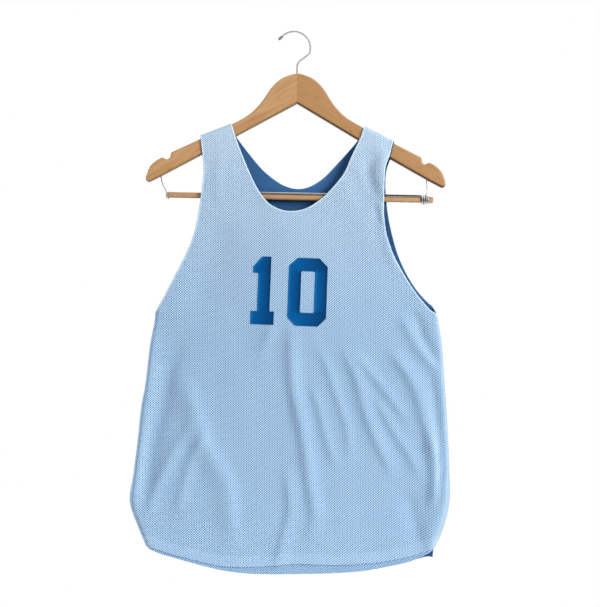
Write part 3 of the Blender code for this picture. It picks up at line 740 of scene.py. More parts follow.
def cloth_shell(name, side, spots, faces, top, bottom, finishes, edge_map):
    """A closed thin wall over triangles of the flat panel, as an object.

    The first finish is for the face that shows, and the last for the other one.
    """
    count = len(spots)
    places = np.vstack([surface(side, spots, top), surface(side, spots, bottom)])
    steps = faces[:, [0, 1, 1, 2, 2, 0]].reshape(-1, 2)
    known = {(a, b) for a, b in steps}
    start, end = np.array([(a, b) for a, b in steps if (b, a) not in known]).T
    walls = [[end, start, start + count], [end, start + count, end + count]]
    whole = np.vstack([faces, faces[:, ::-1] + count, *(np.stack(wall, axis=1) for wall in walls)])
    if (side == FRONT) != (np.mean(top) > np.mean(bottom)):
        whole = whole[:, ::-1]
    mesh = bpy.data.meshes.new(name)
    mesh.from_pydata(places * MM, [], whole)
    for finish in finishes:
        mesh.materials.append(finish)
    kinds = np.zeros(len(whole), np.int32)
    kinds[len(faces) : 2 * len(faces)] = len(finishes) - 1
    mesh.polygons.foreach_set("material_index", kinds)
    corner = np.zeros(len(mesh.loops), np.int32)
    mesh.loops.foreach_get("vertex_index", corner)
    # Two UV maps of lengths in metres: the place on the flat panel, and the distances to its edges.
    for kind, pairs in (("cloth", spots), ("edges", edge_map)):
        layer = mesh.uv_layers.new(name=kind)
        metres = np.vstack([pairs, pairs])[corner] * MM
        layer.uv.foreach_set("vector", np.ascontiguousarray(metres, np.float32).ravel())
    mesh.shade_smooth()
    return add(bpy.data.objects.new(name, mesh))


def add(thing):
    """An object linked to the scene."""
    bpy.context.scene.collection.objects.link(thing)
    return thing


def solid(name, body, finish, rounded=True):
    """An object from a bmesh, smooth but for its corners if it is rounded."""
    mesh = bpy.data.meshes.new(name)
    body.to_mesh(mesh)
    body.free()
    mesh.materials.append(finish)
    if rounded:
        mesh.shade_smooth()
        mesh.set_sharp_from_angle(angle=SHARP)
    return add(bpy.data.objects.new(name, mesh))


def placed(thing, node):
    """A piece that rides on the one body in a CAD node's place."""
    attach(thing, "root")
    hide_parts(node)


# ---- shader nodes


class Flow:
    """An output of a material's nodes.  Arithmetic on it adds Math nodes."""

    def __init__(self, finish, socket):
        self.finish, self.socket = finish, socket

    def math(self, operation, *values):
        return self.finish.node("ShaderNodeMath", {"operation": operation}, values)

    def __add__(self, other):
        return self.math("ADD", self, other)

    def __sub__(self, other):
        return self.math("SUBTRACT", self, other)

    def __rsub__(self, other):
        return self.math("SUBTRACT", other, self)

    def __mul__(self, other):
        return self.math("MULTIPLY", self, other)

    __radd__ = __add__
    __rmul__ = __mul__


class Finish:
    """A material under construction, with its Principled shader."""

    def __init__(self, name, roughness, metallic=0.0):
        self.material = bpy.data.materials.new(name)
        self.material.use_nodes = True
        self.nodes = self.material.node_tree.nodes
        self.links = self.material.node_tree.links
        self.shader = self.nodes["Principled BSDF"]
        self.feed(self.shader, {"Roughness": roughness, "Metallic": metallic})

    def feed(self, node, values):
        """Sets or links a node's sockets, given by name or by place."""
        pairs = values.items() if isinstance(values, dict) else enumerate(values)
        for key, value in pairs:
            if isinstance(value, Flow):
                self.links.new(value.socket, node.inputs[key])
            elif value is not None:
                node.inputs[key].default_value = value

    def node(self, kind, settings=None, values=(), output=0):
        """A new node's output: its settings first, then its sockets' values or links."""
        made = self.nodes.new(kind)
        for name, value in (settings or {}).items():
            if name == "stops":
                self.stops(made.color_ramp, value)
            else:
                setattr(made, name, value)
        self.feed(made, values)
        return Flow(self, made.outputs[output])

    def stops(self, ramp, stops):
        """Colour stops of a ramp, as (place, screen values) pairs."""
        while len(ramp.elements) < len(stops):
            ramp.elements.new(1.0)
        for element, (place, values) in zip(ramp.elements, stops):
            element.position, element.color = place, colour(*values)

    def vector(self, operation, *values, output=0):
        return self.node("ShaderNodeVectorMath", {"operation": operation}, values, output)

    def map(self, name):
        return self.node("ShaderNodeUVMap", {"uv_map": name})

    def parts(self, vector):
        """The x, y and z parts of a vector."""
        return [self.node("ShaderNodeSeparateXYZ", None, [vector], k) for k in range(3)]

    def whole(self, x, y, z):
        """A vector from its three parts."""
        return self.node("ShaderNodeCombineXYZ", None, [x, y, z])

    def place(self):
        """The place on the piece, in metres."""
        return self.node("ShaderNodeTexCoord", None, (), "Object")

    def facing(self):
        """The three parts of the surface's direction."""
        return self.parts(self.node("ShaderNodeNewGeometry", None, (), 1))

    def step(self, value, low, high):
        """0 at low, 1 at high and an easy rise between them; low may be the larger."""
        settings = {"interpolation_type": "SMOOTHSTEP"}
        return self.node("ShaderNodeMapRange", settings, [value, low, high, 0.0, 1.0])

    def noise(self, place, scale, detail=3.0, roughness=0.55):
        values = {"Vector": place, "Scale": scale, "Detail": detail, "Roughness": roughness}
        return self.node("ShaderNodeTexNoise", None, values)

    def mix(self, share, first, second):
        """A colour between two, by a share from 0 to 1; each is a Flow or screen values."""
        first, second = (end if isinstance(end, Flow) else colour(*end) for end in (first, second))
        values = {0: share, 6: first, 7: second}
        return self.node("ShaderNodeMix", {"data_type": "RGBA"}, values, 2)

    def bump(self, height, distance, strength=1.0, normal=None):
        values = {"Height": height, "Distance": distance, "Strength": strength, "Normal": normal}
        return self.node("ShaderNodeBump", None, values)

    def finished(self, **sockets):
        """The material, with its shader's sockets fed; an underscore stands for a space in a name."""
        self.feed(self.shader, {name.replace("_", " "): value for name, value in sockets.items()})
        return self.material


def colour(red, green, blue):
    """A colour from screen values of 0 to 255."""
    values = [value / 255 for value in (red, green, blue)]
    return (*(v / 12.92 if v <= 0.04045 else ((v + 0.055) / 1.055) ** 2.4 for v in values), 1.0)


# ---- finishes

# The mesh knit: holes in staggered rows, two to a repeat, with blue cloth behind them.
HOLE_ACROSS = 3.78
HOLE_DOWN = 3.38
HOLE_RADIUS = 1.0
HOLE_SOFT = 0.3
SMALLER_HOLES = 1.4

# The rows of holes slope down to the right, and more so the further right they are, per metre.
ROW_SLOPE = 0.11
ROW_BOW = 0.27


def knit_holes(finish, place):
    """1 in the round holes of the mesh knit and 0 on its yarn."""
    across, down, _ = finish.parts(place)
    down = down - across * (across * ROW_BOW + ROW_SLOPE)
    size = (HOLE_ACROSS * MM, HOLE_DOWN * MM, 1.0)
    cells = finish.vector("DIVIDE", finish.whole(across, down, 0.0), size)
    away = None
    for shift, smaller in ((0.0, 1.0), (0.5, SMALLER_HOLES)):
        cell = finish.vector("FRACTION", finish.vector("ADD", cells, (shift, shift, 0.0)))
        x, y, _ = finish.parts(finish.vector("SUBTRACT", cell, (0.5, 0.5, 0.0)))
        x, y = x * (HOLE_ACROSS / HOLE_RADIUS), y * (HOLE_DOWN / HOLE_RADIUS)
        square = (x * x + y * y) * smaller
        away = square if away is None else away.math("MINIMUM", away, square)
    return finish.step(away, 1 + HOLE_SOFT, 1 - HOLE_SOFT)


def white_mesh():
    """White mesh knit over blue cloth: plain where it is doubled at the turned edges, with a painted
    highlight where it faces right.
    """
    finish = Finish("white_mesh", 0.85)
    place = finish.map("cloth")
    to_edge, to_hem, _ = finish.parts(finish.map("edges"))
    doubled = 1 - finish.step(to_edge, 1.5 * MM, 2.7 * MM)
    banded = 1 - finish.step(to_hem, 14.0 * MM, 15.2 * MM)
    holes = knit_holes(finish, place)
    uneven = finish.noise(place, 9.0)
    _, down, _ = finish.parts(place)
    lower = finish.step(down, 0.15, 0.48)
    strap = 1 - finish.step(down, 0.15, 0.235)
    shown = holes * (1 - doubled * 0.85) * (1 - banded * 0.16)
    shown = shown * (lower * 0.08 + 0.92) * (1 - strap * 0.25)
    yarn = finish.mix(uneven, (208, 228, 246), (217, 239, 250))
    yarn = finish.mix(lower, yarn, finish.mix(uneven, (190, 217, 243), (196, 228, 247)))
    # Painted highlight: the yarn is mixed towards near-white where the surface faces right, towards the key
    # light.
    towards_right, _, _ = finish.facing()
    yarn = finish.mix(finish.step(towards_right, 0.3, 0.85) * 0.6, yarn, (232, 250, 255))
    behind = finish.mix(finish.noise(place, 26.0), (64, 108, 166), (78, 126, 182))
    height = (1 - shown) + 0.3 * finish.noise(place, 900.0, 1.0)
    return finish.finished(
        Base_Color=finish.mix(shown, yarn, behind),
        Normal=finish.bump(height, 0.35 * MM, 0.4),
        Specular_IOR_Level=0.15,
        Sheen_Weight=0.1,
        Sheen_Roughness=0.5,
    )


def blue_inside():
    """Blue knit, smooth side, with painted shade below the bar and painted light towards the hem."""
    finish = Finish("blue_lining", 0.7)
    place = finish.map("cloth")
    to_edge, to_hem, _ = finish.parts(finish.map("edges"))
    dots = knit_holes(finish, place) * finish.step(to_edge, 2.9 * MM, 3.9 * MM)
    _, down, _ = finish.parts(place)
    # Painted shade: darker in a band below the neckline, under the bar, where shade falls inside the
    # jersey.
    painted_shade_below_bar = finish.step(down, 0.222, 0.248) * finish.step(down, 0.36, 0.3)
    base = finish.mix(finish.noise(place, 12.0), (52, 100, 150), (64, 114, 168))
    base = finish.mix(painted_shade_below_bar * 0.42, base, (24, 58, 100))
    # Painted light: lighter towards the hem, to brighten the shaded inside of the turned-up hem.
    base = finish.mix(finish.step(to_hem, 24 * MM, 10 * MM) * 0.55, base, (104, 152, 204))
    return finish.finished(
        Base_Color=finish.mix(dots * 0.35, base, (36, 76, 124)),
        Normal=finish.bump(1 - dots, 0.3 * MM, 0.4),
        Specular_IOR_Level=0.15,
        Sheen_Weight=0.08,
        Sheen_Roughness=0.5,
    )


def blue_outside():
    """Blue knit, the side towards the white cloth, with pale flecks in its hem."""
    finish = Finish("blue_lining_flecked", 0.75)
    place = finish.map("cloth")
    to_edge, to_hem, _ = finish.parts(finish.map("edges"))
    flecks = knit_holes(finish, place) * finish.step(to_hem, 60 * MM, 30 * MM)
    base = finish.mix(finish.noise(place, 12.0), (84, 133, 184), (99, 148, 196))
    base = finish.mix(finish.step(to_edge, 6 * MM, 3 * MM), base, (42, 92, 138))
    return finish.finished(
        Base_Color=finish.mix(flecks * 0.85, base, (205, 228, 246)),
        Normal=finish.bump(flecks, 0.3 * MM, 0.5),
        Specular_IOR_Level=0.15,
        Sheen_Weight=0.08,
        Sheen_Roughness=0.5,
    )


def blue_film():
    """Numeral film, with painted shade deepening towards the right of each stroke, a painted highlight
    along its left edge and painted shade along its right edge, and the knit faintly through it.
    """
    finish = Finish("blue_film", 0.42)
    place = finish.map("cloth")
    from_left, from_right, _ = finish.parts(finish.map("edges"))
    # Painted shade and highlight: each stroke goes from lighter at its left to darker at its right, with a
    # lighter rim along its left edge and a darker one along its right.
    across = from_left.math("DIVIDE", from_left, from_left + from_right)
    film = finish.mix(across, (0, 93, 162), (0, 60, 110))
    film = finish.mix(finish.step(from_left, 4.5 * MM, 0) * 0.6, film, (42, 122, 180))
    film = finish.mix(finish.step(from_right, 3.6 * MM, 0) * 0.82, film, (0, 42, 88))
    return finish.finished(
        Base_Color=film,
        Normal=finish.bump(1 - knit_holes(finish, place), 0.12 * MM, 0.35),
        Roughness=finish.noise(place, 60.0) * 0.12 + 0.36,
        Specular_IOR_Level=0.08,
    )


def thread(name, red, green, blue):
    """Plain sewing thread."""
    finish = Finish(name, 0.6)
    shade = finish.noise(finish.place(), 900.0, 1.0)
    dark = (red * 0.9, green * 0.9, blue * 0.9)
    return finish.finished(Base_Color=finish.mix(shade, dark, (red, green, blue)), Sheen_Weight=0.2)


def beech(name, along_arms):
    """Lacquered beech, with its grain along the bar or mirrored along the hanger's two arms, painted shade
    under the arms and under the locking wire, and painted light on the bar's lower half.
    """
    finish = Finish(name, 0.36)
    place = finish.place()
    x, y, z = finish.parts(place)
    tone, run, rise = 0.0, x, z
    if along_arms:
        out = x - HANGER_AXIS * MM
        tone = finish.step(out, -0.2 * MM, 0.2 * MM)
        out = out.math("ABSOLUTE", out)
        run = out * math.cos(ARM_SLOPE) - z * math.sin(ARM_SLOPE)
        rise = out * math.sin(ARM_SLOPE) + z * math.cos(ARM_SLOPE)
    grain_place = finish.whole(run * 7.0 + tone * 3.0, y * 60.0, rise * 60.0)
    fleck_place = finish.whole(run * 160.0 + tone * 7.0, y * 900.0, rise * 900.0)
    bands = finish.noise(grain_place, 3.2, 5.0, 0.6)
    flecks = finish.step(finish.noise(fleck_place, 1.0, 2.0), 0.6, 0.74)
    stops = ((0.3, (184, 135, 88)), (0.5, (197, 150, 101)), (0.72, (206, 161, 114)))
    wood = finish.node("ShaderNodeValToRGB", {"stops": stops}, [bands])
    wood = finish.mix(flecks * 0.06, wood, (166, 120, 74))
    if along_arms:
        joint = 1 - finish.step(out, 0.15 * MM, 0.4 * MM)
        _, _, upward = finish.facing()
        streaks = finish.step(finish.noise(grain_place, 9.0, 2.0, 0.4), 0.63, 0.72)
        # Painted shade: darker where the arms face down, more so on the right arm, away from the key light.
        painted_shade_under = finish.step(upward, -0.12, -0.5) * (tone * 0.55 + 0.35)
        wood = finish.mix(tone * 0.7, wood, (173, 128, 80))
        wood = finish.mix(joint * 0.55, wood, (120, 82, 48))
        wood = finish.mix(streaks * 0.4, wood, (150, 104, 62))
        wood = finish.mix(painted_shade_under, wood, (92, 58, 32))
    else:
        # Painted light: the lower half of the bar is lightened, against the shade that falls under it.
        low = finish.step(z, (1 - BAR_DROP) * MM, (-3 - BAR_DROP) * MM)
        top = finish.step(z, (BAR_RADIUS * 0.5 - BAR_DROP) * MM, (BAR_RADIUS * 0.8 - BAR_DROP) * MM)
        # Painted shadow: a dark band along the top of the bar under the locking wire, from where the wire
        # starts.
        painted_wire_shadow = top * finish.step(x, LOCK_RUN[0] * MM, (LOCK_RUN[0] + 3) * MM)
        wood = finish.mix(0.4, wood, (182, 148, 110))
        wood = finish.mix(low * 0.6, wood, (222, 184, 142))
        wood = finish.mix(painted_wire_shadow * 0.85, wood, (82, 58, 38))
    return finish.finished(
        Base_Color=wood,
        Normal=finish.bump(bands + flecks * 0.2, 0.25 * MM, 0.1),
        Roughness=bands * 0.12 + 0.36,
        Specular_IOR_Level=0.35 if along_arms else 0.15,
        Coat_Weight=0.12 if along_arms else 0.0,
        Coat_Roughness=0.25,
    )


def steel(name, low, high, shaded_from=NEVER_SHADED):
    """Drawn wire of grey tones from low to high, with a painted reflection that makes it brighter where it
    faces up or down.

    Right of a place across it has painted shade, as far as the clasp.
    """
    finish = Finish(name, 0.5, 1.0)
    place = finish.place()
    cloudy = finish.noise(place, 140.0, 3.0)
    _, _, upward = finish.facing()
    x, _, _ = finish.parts(place)
    clasp = 1 - finish.step(x, (LOCK_RUN[1] - 2) * MM, LOCK_RUN[1] * MM)
    # Painted shade: darker and less bright right of the place, as far as the clasp.
    painted_shade_right = finish.step(x, shaded_from * MM, (shaded_from + 15) * MM) * clasp
    metal = finish.mix(cloudy, (low, low, low - 3), (high, high, high - 4))
    metal = finish.mix(painted_shade_right * 0.6, metal, (78, 74, 74))
    # Painted reflection: near-white where the wire faces up or down, less so where it has painted shade.
    bright = finish.step(upward.math("ABSOLUTE", upward), 0.12, 0.6) * (1 - painted_shade_right * 0.8)
    return finish.finished(
        Base_Color=finish.mix(bright, metal, (240, 240, 237)),
        Roughness=cloudy * 0.15 + 0.42,
    )


def dark_dip():
    """Dark dipped end of the hook."""
    finish = Finish("dark_tip", 0.45)
    cloudy = finish.noise(finish.place(), 400.0, 2.0)
    return finish.finished(
        Base_Color=finish.mix(cloudy, (98, 100, 106), (138, 140, 146)),
        Normal=finish.bump(cloudy, 0.1 * MM, 0.4),
    )


# ---- the jersey


def make_ply(name, node, panel, tank):
    """One panel of one ply, the sheet of cloth that it is."""
    spots, faces = net_of_panel(panel)
    top, bottom, to_edge, to_hem = ply_heights(panel, spots, tank.ply)
    edge_map = np.stack([to_edge, to_hem], axis=1)
    made = cloth_shell(name, panel.side, spots, faces, top, bottom, tank.finishes, edge_map)
    placed(made, node)
    a, b, c = (spots[faces[:, k]] for k in range(3))
    doubled = (b[:, 0] - a[:, 0]) * (c[:, 1] - a[:, 1]) - (b[:, 1] - a[:, 1]) * (c[:, 0] - a[:, 0])
    area = 0.5 * abs(doubled).sum() * MM * MM


def stitch_row(panel, line, ply, height):
    """Capsules of thread along a line of the flat panel, as points and faces."""
    length = lengths(line)
    count = int(length[-1] / STITCH_PITCH)
    starts = (np.arange(count) + 0.5 * (1 - STITCH_LENGTH / STITCH_PITCH)) * length[-1] / count
    stations, arch, thick = np.array(STITCH_SHAPE).T
    at = (starts[:, None] + stations * STITCH_LENGTH).ravel()
    spots = np.stack([np.interp(at, length, line[:, k]) for k in range(2)], axis=1)
    out = 1 if ply[0] > ply[1] else -1
    base = ply[0] + out * (height + np.tile(arch, count))
    middle = surface(panel.side, spots, base)
    above = surface(panel.side, spots, base + out) - middle
    onward = np.gradient(middle.reshape(count, len(stations), 3), axis=1).reshape(-1, 3)
    beside = np.cross(onward, above)
    beside /= np.linalg.norm(beside, axis=1)[:, None]
    angles = (np.arange(THREAD_SIDES) * math.tau / THREAD_SIDES)[None, :, None]
    ring = np.cos(angles) * above[:, None, :] + np.sin(angles) * beside[:, None, :]
    radius = np.tile(thick * THREAD_RADIUS, count)[:, None, None]
    points = (middle[:, None, :] + ring * radius).reshape(-1, 3)
    faces = []
    last = (len(stations) - 1) * THREAD_SIDES
    for first in range(0, len(points), len(stations) * THREAD_SIDES):
        for ring_start in range(first, first + last, THREAD_SIDES):
            for j in range(THREAD_SIDES):
                a, b = ring_start + j, ring_start + (j + 1) % THREAD_SIDES
                faces.append((a, b, b + THREAD_SIDES, a + THREAD_SIDES))
        faces.append(tuple(first + j for j in reversed(range(THREAD_SIDES))))
        faces.append(tuple(first + last + j for j in range(THREAD_SIDES)))
    return points, faces


def make_stitches(name, rows, finish):
    """One object of several rows of stitches."""
    points, faces = [], []
    start = 0
    for row_points, row_faces in rows:
        points.append(row_points)
        faces += [tuple(start + k for k in face) for face in row_faces]
        start += len(row_points)
    mesh = bpy.data.meshes.new(name)
    mesh.from_pydata(np.vstack(points) * MM, [], faces)
    mesh.materials.append(finish)
    body = bmesh.new()
    body.from_mesh(mesh)
    bmesh.ops.recalc_face_normals(body, faces=body.faces)
    body.to_mesh(mesh)
    body.free()
    mesh.shade_smooth()
    made = add(bpy.data.objects.new(name, mesh))
    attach(made, "root")


def trimmed(line, length):
    """A line without its first and last stretch."""
    along = lengths(line)
    return line[(along > length) & (along < along[-1] - length)]


def on_panel(points, left):
    """A numeral's loop, drawn upwards from its lower left corner, placed on the flat front panel."""
    turn = np.array(Matrix.Rotation(NUMERAL_TURN, 2))
    spots = np.array([(left + x, NUMERAL_HEIGHT / 2 - y) for x, y in reversed(points)])
    return spots @ turn.T + np.array(NUMERAL_CENTRE)


def cut_rectangle(left, right, bottom, top, cut):
    """A rectangle with its four corners cut off."""
    return [
        (left + cut, bottom), (right - cut, bottom), (right, bottom + cut), (right, top - cut),
        (right - cut, top), (left + cut, top), (left, top - cut), (left, bottom + cut),
    ]


def numeral_loops():
    """Outlines on the flat front panel: the one, the zero and the zero's counter."""
    stem = ONE_STEM_INSET, ONE_STEM_INSET + STROKE
    low, high = ONE_FLAG_RISE
    one = [
        (0, 0), (ONE_FOOT, 0), (ONE_FOOT, CROSS_STROKE), (stem[1], CROSS_STROKE), (stem[1], NUMERAL_HEIGHT),
        (stem[0] + (NUMERAL_HEIGHT - high) / 3, NUMERAL_HEIGHT), (ONE_FLAG_INSET, high),
        (ONE_FLAG_INSET, low), (stem[0], low), (stem[0], CROSS_STROKE), (0, CROSS_STROKE),
    ]
    zero = cut_rectangle(0, ZERO_WIDTH, 0, NUMERAL_HEIGHT, CHAMFER)
    top = NUMERAL_HEIGHT - CROSS_STROKE
    counter = cut_rectangle(STROKE, ZERO_WIDTH - STROKE, CROSS_STROKE, top, COUNTER_CHAMFER)
    width = ONE_FOOT + NUMERAL_SPACE + ZERO_WIDTH
    zero_left = width / 2 - ZERO_WIDTH
    return on_panel(one, -width / 2), on_panel(zero, zero_left), on_panel(counter, zero_left)


def filled(loop, step):
    """A loop of straight sides with points about a step apart."""
    sides = []
    for start, end in zip(loop, np.roll(loop, -1, axis=0)):
        pieces = max(1, round(math.dist(start, end) / step))
        sides.append(start + (end - start) * np.arange(pieces)[:, None] / pieces)
    return np.vstack(sides)


def stroke_sides(spots, loops):
    """How far each spot is from the edge of its stroke on the left and on the right."""
    starts = np.vstack(loops)
    ends = np.vstack([np.roll(loop, -1, axis=0) for loop in loops])
    rise = ends[:, 1] - starts[:, 1]
    share = (spots[:, 1:] - starts[:, 1]) / np.where(rise == 0, 1, rise)
    away = starts[:, 0] + (ends[:, 0] - starts[:, 0]) * share - spots[:, :1]
    away = np.where((share >= 0) & (share <= 1) & (rise != 0), away, np.inf)
    near = 0.01
    left = np.where(away < near, -away, ZERO_WIDTH).min(axis=1)
    right = np.where(away > -near, away, ZERO_WIDTH).min(axis=1)
    return np.clip(np.stack([left, right], axis=1), 0, ZERO_WIDTH)


def make_numeral(name, node, loops, finish):
    """A numeral of thin film with a rounded rim."""
    loops = [filled(loop, FILM_STEP) for loop in loops]
    rims = [loops[0]] + [hole[::-1] for hole in loops[1:]]
    kept = []
    for rim in rims:
        for inset in FILM_ROWS:
            row = inner_row(np.vstack([rim, rim[:1]]), inset)
            kept.append(row[nearest(row, loops, closed=True) > inset * ROW_KEPT])
    middle = lattice(loops[0].min(0), loops[0].max(0))
    kept.append(middle[nearest(middle, loops, closed=True) > FILM_ROWS[-1] + FILM_CLEAR])
    spots, faces = triangulate(loops, np.vstack(kept))
    top = raised(FILM[1] + FILM_RIM, FILM[0], nearest(spots, loops, closed=True) / FILM_ROUND)
    low = np.full(len(spots), FILM[1])
    made = cloth_shell(name, FRONT, spots, faces, top, low, [finish], stroke_sides(spots, loops))
    placed(made, node)


def make_jersey():
    """Both plies, the numerals and all the stitching."""
    white_thread, blue_thread = thread("white_thread", 232, 240, 250), thread("blue_thread", 96, 146, 204)
    tanks = table(
        "name kind ply finishes thread slot",
        ("white", "outer", OUTER_PLY, [white_mesh()], white_thread, "white_mesh"),
        ("blue", "inner", INNER_PLY, [blue_inside(), blue_outside()], blue_thread, "blue_lining"),
    )
    back = cut_panel(BACK, "back")
    sheets = []
    for tank in tanks:
        sheets.append((tank, "front", cut_panel(FRONT, f"front_{tank.kind}")))
        sheets.append((tank, "back", back))
    for tank, end, panel in sheets:
        make_ply(f"{tank.name}_{end}", f"{end}_{tank.kind}", panel, tank)

    film = blue_film()
    one, zero, counter = numeral_loops()
    make_numeral("film_one", "numeral_one", [one], film)
    make_numeral("film_zero", "numeral_zero", [zero, counter], film)

    for tank, end, panel in sheets:
        rows = [stitch_row(panel, inner_row(edge, TURNED_EDGE), tank.ply, 0.0) for edge in panel.edges]
        for inset in HEM_ROWS:
            line = trimmed(inner_row(panel.hem, inset), HEM_ROW_ENDS)
            rows.append(stitch_row(panel, line, tank.ply, HEM_STITCH_LIFT))
        make_stitches(f"{tank.name}_stitches_{end}", rows, tank.thread)


# ---- the hanger


def turned(thing, node, slot):
    """A piece of the hanger, turned with it and put in a CAD node's place."""
    thing.matrix_world = Matrix.Rotation(HANGER_TURN, 4, "Y")
    placed(thing, node)


def half_outline(hand):
    """Half of the hanger's outline from the top of its crown to the apex of its underside."""
    crown = smooth(CROWN, 2)
    crown = crown[crown[:, 0] >= 0]
    notch = smooth(ARM_END, 1.5)[:-1]
    end = smooth((ARM_END[-1], *TIP), 2)
    return [*crown, *notch, *end, *UNDERSIDES[hand]]


def make_hanger_wood():
    """Flat beech plank with rounded edges."""
    right = [(HANGER_AXIS + out, drop) for out, drop in half_outline("right")]
    left = [(HANGER_AXIS - out, drop) for out, drop in half_outline("left") if out > 0]
    whole = right + [(HANGER_AXIS, APEX_DROP)] + left[::-1]
    body = bmesh.new()
    rim = [body.verts.new(Vector((x, -HANGER_THICKNESS / 2, -drop)) * MM) for x, drop in whole]
    made = bmesh.ops.extrude_face_region(body, geom=[body.faces.new(rim)])
    moved = [item for item in made["geom"] if isinstance(item, bmesh.types.BMVert)]
    bmesh.ops.translate(body, verts=moved, vec=Vector((0, HANGER_THICKNESS * MM, 0)))
    bmesh.ops.recalc_face_normals(body, faces=body.faces)
    flat = [edge for edge in body.edges if abs(edge.verts[0].co.y - edge.verts[1].co.y) < 1e-6]
    bmesh.ops.bevel(body, geom=flat, offset=HANGER_EASE * MM, segments=6, profile=0.5, affect="EDGES")
    turned(solid("hanger_wood", body, beech("beech", True)), "hanger_body", "beech")


def wire(name, points, radius, finish):
    """A round wire through points given as x, y and drop."""
    curve = bpy.data.curves.new(name, "CURVE")
    curve.dimensions = "3D"
    curve.bevel_depth = radius * MM
    curve.bevel_resolution = 6
    curve.use_fill_caps = True
    spline = curve.splines.new("POLY")
    spline.points.add(len(points) - 1)
    for point, (x, y, drop) in zip(spline.points, points):
        point.co = (x * MM, y * MM, -drop * MM, 1)
    spline.use_smooth = True
    curve.materials.append(finish)
    return add(bpy.data.objects.new(name, curve))


def make_hook(bright, dip):
    """Steel wire hook with its stem in the wood and a dark tip."""
    centre = HOOK_RADIUS - HOOK_WIRE
    angles = [math.radians(degrees) for degrees in HOOK_ARC]
    arc = [(HOOK_RADIUS * math.cos(a), 0, centre - HOOK_RADIUS * math.sin(a)) for a in angles]
    path = smooth(arc + [(x, 0, drop) for x, drop in HOOK_BEND], 1.2)
    stem = [(STEM_AXIS, 0, HANGER_CROWN - STEM_TOP), (STEM_AXIS, 0, HANGER_CROWN + STEM_DEPTH)]
    turned(wire("hook_wire", [*path, *stem], HOOK_WIRE, bright), "hook", "bright_steel")
    back = path[0] - path[1]
    back /= np.linalg.norm(back)
    stations = np.linspace(-HOOK_TIP_SINK, HOOK_TIP_LENGTH, HOOK_TIP_POINTS)
    tip = wire("hook_dip", [path[0] + back * length for length in stations], HOOK_TIP_RADIUS, dip)
    # A drop of dip: narrower where it starts on the wire and rounded off at its end.
    for point, share in zip(tip.data.splines[0].points, np.linspace(0, 1, HOOK_TIP_POINTS)):
        point.radius = 0.72 + 0.28 * float(dome(share * 5)) - 0.45 * max(0.0, share - 0.8) / 0.2
    turned(tip, "hook_tip", "dark_tip")


def make_bar():
    """Round trouser bar with eased ends, as a lathe-turned rod."""
    left, right = BAR_ENDS
    profile = [(left, BAR_RADIUS - BAR_EASE)]
    for angle in np.linspace(0, math.pi / 2, 5)[1:]:
        inset, narrower = BAR_EASE * (1 - math.cos(angle)), BAR_EASE * (1 - math.sin(angle))
        profile.append((left + inset, BAR_RADIUS - narrower))
    profile += [(right - (x - left), radius) for x, radius in reversed(profile)]
    body = bmesh.new()
    rings = []
    for x, radius in profile:
        ring = []
        for angle in np.arange(BAR_SIDES) * math.tau / BAR_SIDES:
            place = Vector((x, radius * math.cos(angle), -BAR_DROP + radius * math.sin(angle)))
            ring.append(body.verts.new(place * MM))
        rings.append(ring)
    for first, second in zip(rings, rings[1:]):
        for k in range(BAR_SIDES):
            after = (k + 1) % BAR_SIDES
            body.faces.new((first[k], first[after], second[after], second[k]))
    body.faces.new(rings[0])
    body.faces.new(rings[-1])
    bmesh.ops.recalc_face_normals(body, faces=body.faces)
    turned(solid("bar_wood", body, beech("beech_bar", False)), "trouser_bar", "beech")


def turns(start, first, last, orbit):
    """Points round the bar from one angle to another, moving along it by a pitch each turn."""
    steps = round(abs(last - first) / DEGREES_A_STEP)
    points = []
    for k in range(steps + 1):
        angle = math.radians(first + (last - first) * k / steps)
        along = start + WIRE_PITCH * abs(last - first) / 360 * k / steps
        points.append((along, -orbit * math.sin(angle), BAR_DROP - orbit * math.cos(angle)))
    return points


def make_wires(bright, lock, pale):
    """The locking wire with its coil clasp, and the two wires that carry the bar."""
    start, end = LOCK_RUN
    top = BAR_DROP - LOCK_ORBIT
    corner = [(start, 0, BAR_DROP - 1), (start, 0, top + LOCK_BEND), (start + LOCK_BEND, 0, top)]
    run = [(start + (end - start) * k / LOCK_PIECES, 0, top) for k in range(1, LOCK_PIECES)]
    path = [*smooth(corner, 0.8), *run, *turns(end, *LOCK_TURNS, LOCK_ORBIT)]
    turned(wire("lock_wire_bright", path, LOCK_WIRE, lock), "lock_wire", "bright_steel")
    for shape, finish in zip(BAR_WIRES, (bright, pale)):
        ring = turns(shape.ring_start, *shape.turns, WIRE_ORBIT)
        inside = (shape.across, 0, shape.drop - BORE_DEPTH)
        outside = (shape.across, 0, shape.drop + STRAIGHT_OUT)
        path = [inside, *smooth([outside, *shape.way, ring[0]], 1.0)[:-1], *ring]
        made = wire(f"bar_wire_{shape.hand}_bright", path, WIRE, finish)
        turned(made, f"bar_wire_{shape.hand}", "bright_steel")


# ---- stage


def make_camera():
    """Level camera in front of the jersey."""
    data = bpy.data.cameras.new("camera")
    data.sensor_width = SENSOR
    data.lens = SENSOR * -CAMERA_PLACE[1] / VIEW_HEIGHT
    camera = add(bpy.data.objects.new("camera", data))
    camera.location = Vector(CAMERA_PLACE) * MM
    camera.rotation_euler = (math.pi / 2, 0, 0)
    bpy.context.scene.camera = camera


def make_light(shape):
    """A square soft light, turned to the jersey."""
    data = bpy.data.lights.new(shape.name, "AREA")
    data.size = shape.size
    data.energy = shape.power
    data.color = LIGHT_TINT
    light = add(bpy.data.objects.new(shape.name, data))
    light.location = shape.place
    way = Vector(LIGHT_TARGET) - Vector(shape.place)
    light.rotation_euler = way.to_track_quat("-Z", "Y").to_euler()


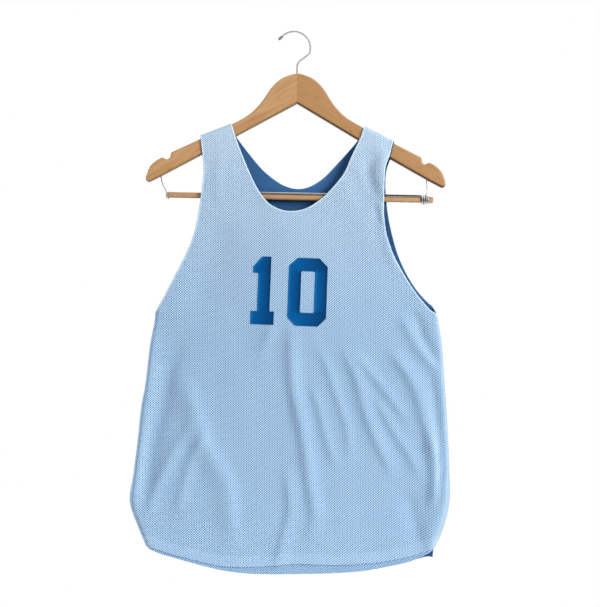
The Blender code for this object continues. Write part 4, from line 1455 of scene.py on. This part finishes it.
def make_floor():
    """A plain pale disc well below the hem."""
    body = bmesh.new()
    bmesh.ops.create_circle(body, cap_ends=True, segments=96, radius=FLOOR_RADIUS * MM)
    finish = Finish("pale_floor", 0.8)
    shade = finish.mix(finish.noise(finish.place(), 6.0), (236, 236, 236), (242, 242, 242))
    floor = solid("floor", body, finish.finished(Base_Color=shade), rounded=False)
    floor.location = (0, 0, -FLOOR_DROP * MM)


def make_world():
    """White surroundings: full white behind the object, softer and darker below as light on it."""
    world = bpy.data.worlds.new("studio")
    world.use_nodes = True
    nodes, links = world.node_tree.nodes, world.node_tree.links
    output = nodes["World Output"]
    backdrop = nodes["Background"]
    backdrop.inputs["Color"].default_value = (1, 1, 1, 1)
    seen = nodes.new("ShaderNodeLightPath")
    direction = nodes.new("ShaderNodeTexCoord")
    height = nodes.new("ShaderNodeSeparateXYZ")
    links.new(direction.outputs["Generated"], height.inputs[0])
    shown = backdrop
    for strength, ray in ((SOFT_LIGHT, "Is Diffuse Ray"), (MIRRORED_LIGHT, "Is Glossy Ray")):
        rise = nodes.new("ShaderNodeMapRange")
        for name, value in zip(("From Min", "From Max", "To Min", "To Max"), (*LOW_TO_HIGH, *strength)):
            rise.inputs[name].default_value = value
        links.new(height.outputs[2], rise.inputs["Value"])
        soft = nodes.new("ShaderNodeBackground")
        soft.inputs["Color"].default_value = AIR_TINT
        links.new(rise.outputs[0], soft.inputs["Strength"])
        mixed = nodes.new("ShaderNodeMixShader")
        links.new(seen.outputs[ray], mixed.inputs[0])
        links.new(shown.outputs[0], mixed.inputs[1])
        links.new(soft.outputs[0], mixed.inputs[2])
        shown = mixed
    links.new(shown.outputs[0], output.inputs["Surface"])
    bpy.context.scene.world = world
    bpy.context.scene.view_settings.view_transform = "Standard"


def make_hanger():
    """Wood, hook, bar and wires."""
    # One steel in three tones: the pale copy for the right drop wire has painted light, and the darker lock
    # copy has painted shade.
    bright = steel("bright_steel", 122, 146)
    pale = steel("bright_steel_painted_light", 144, 170)
    make_hanger_wood()
    make_hook(bright, dark_dip())
    make_bar()
    make_wires(bright, steel("bright_steel_lock_painted_shade", 84, 122, LOCK_SHADED_FROM), pale)


make_camera()
make_hanger()
make_jersey()
make_floor()
make_world()
for shape in LIGHTS:
    make_light(shape)
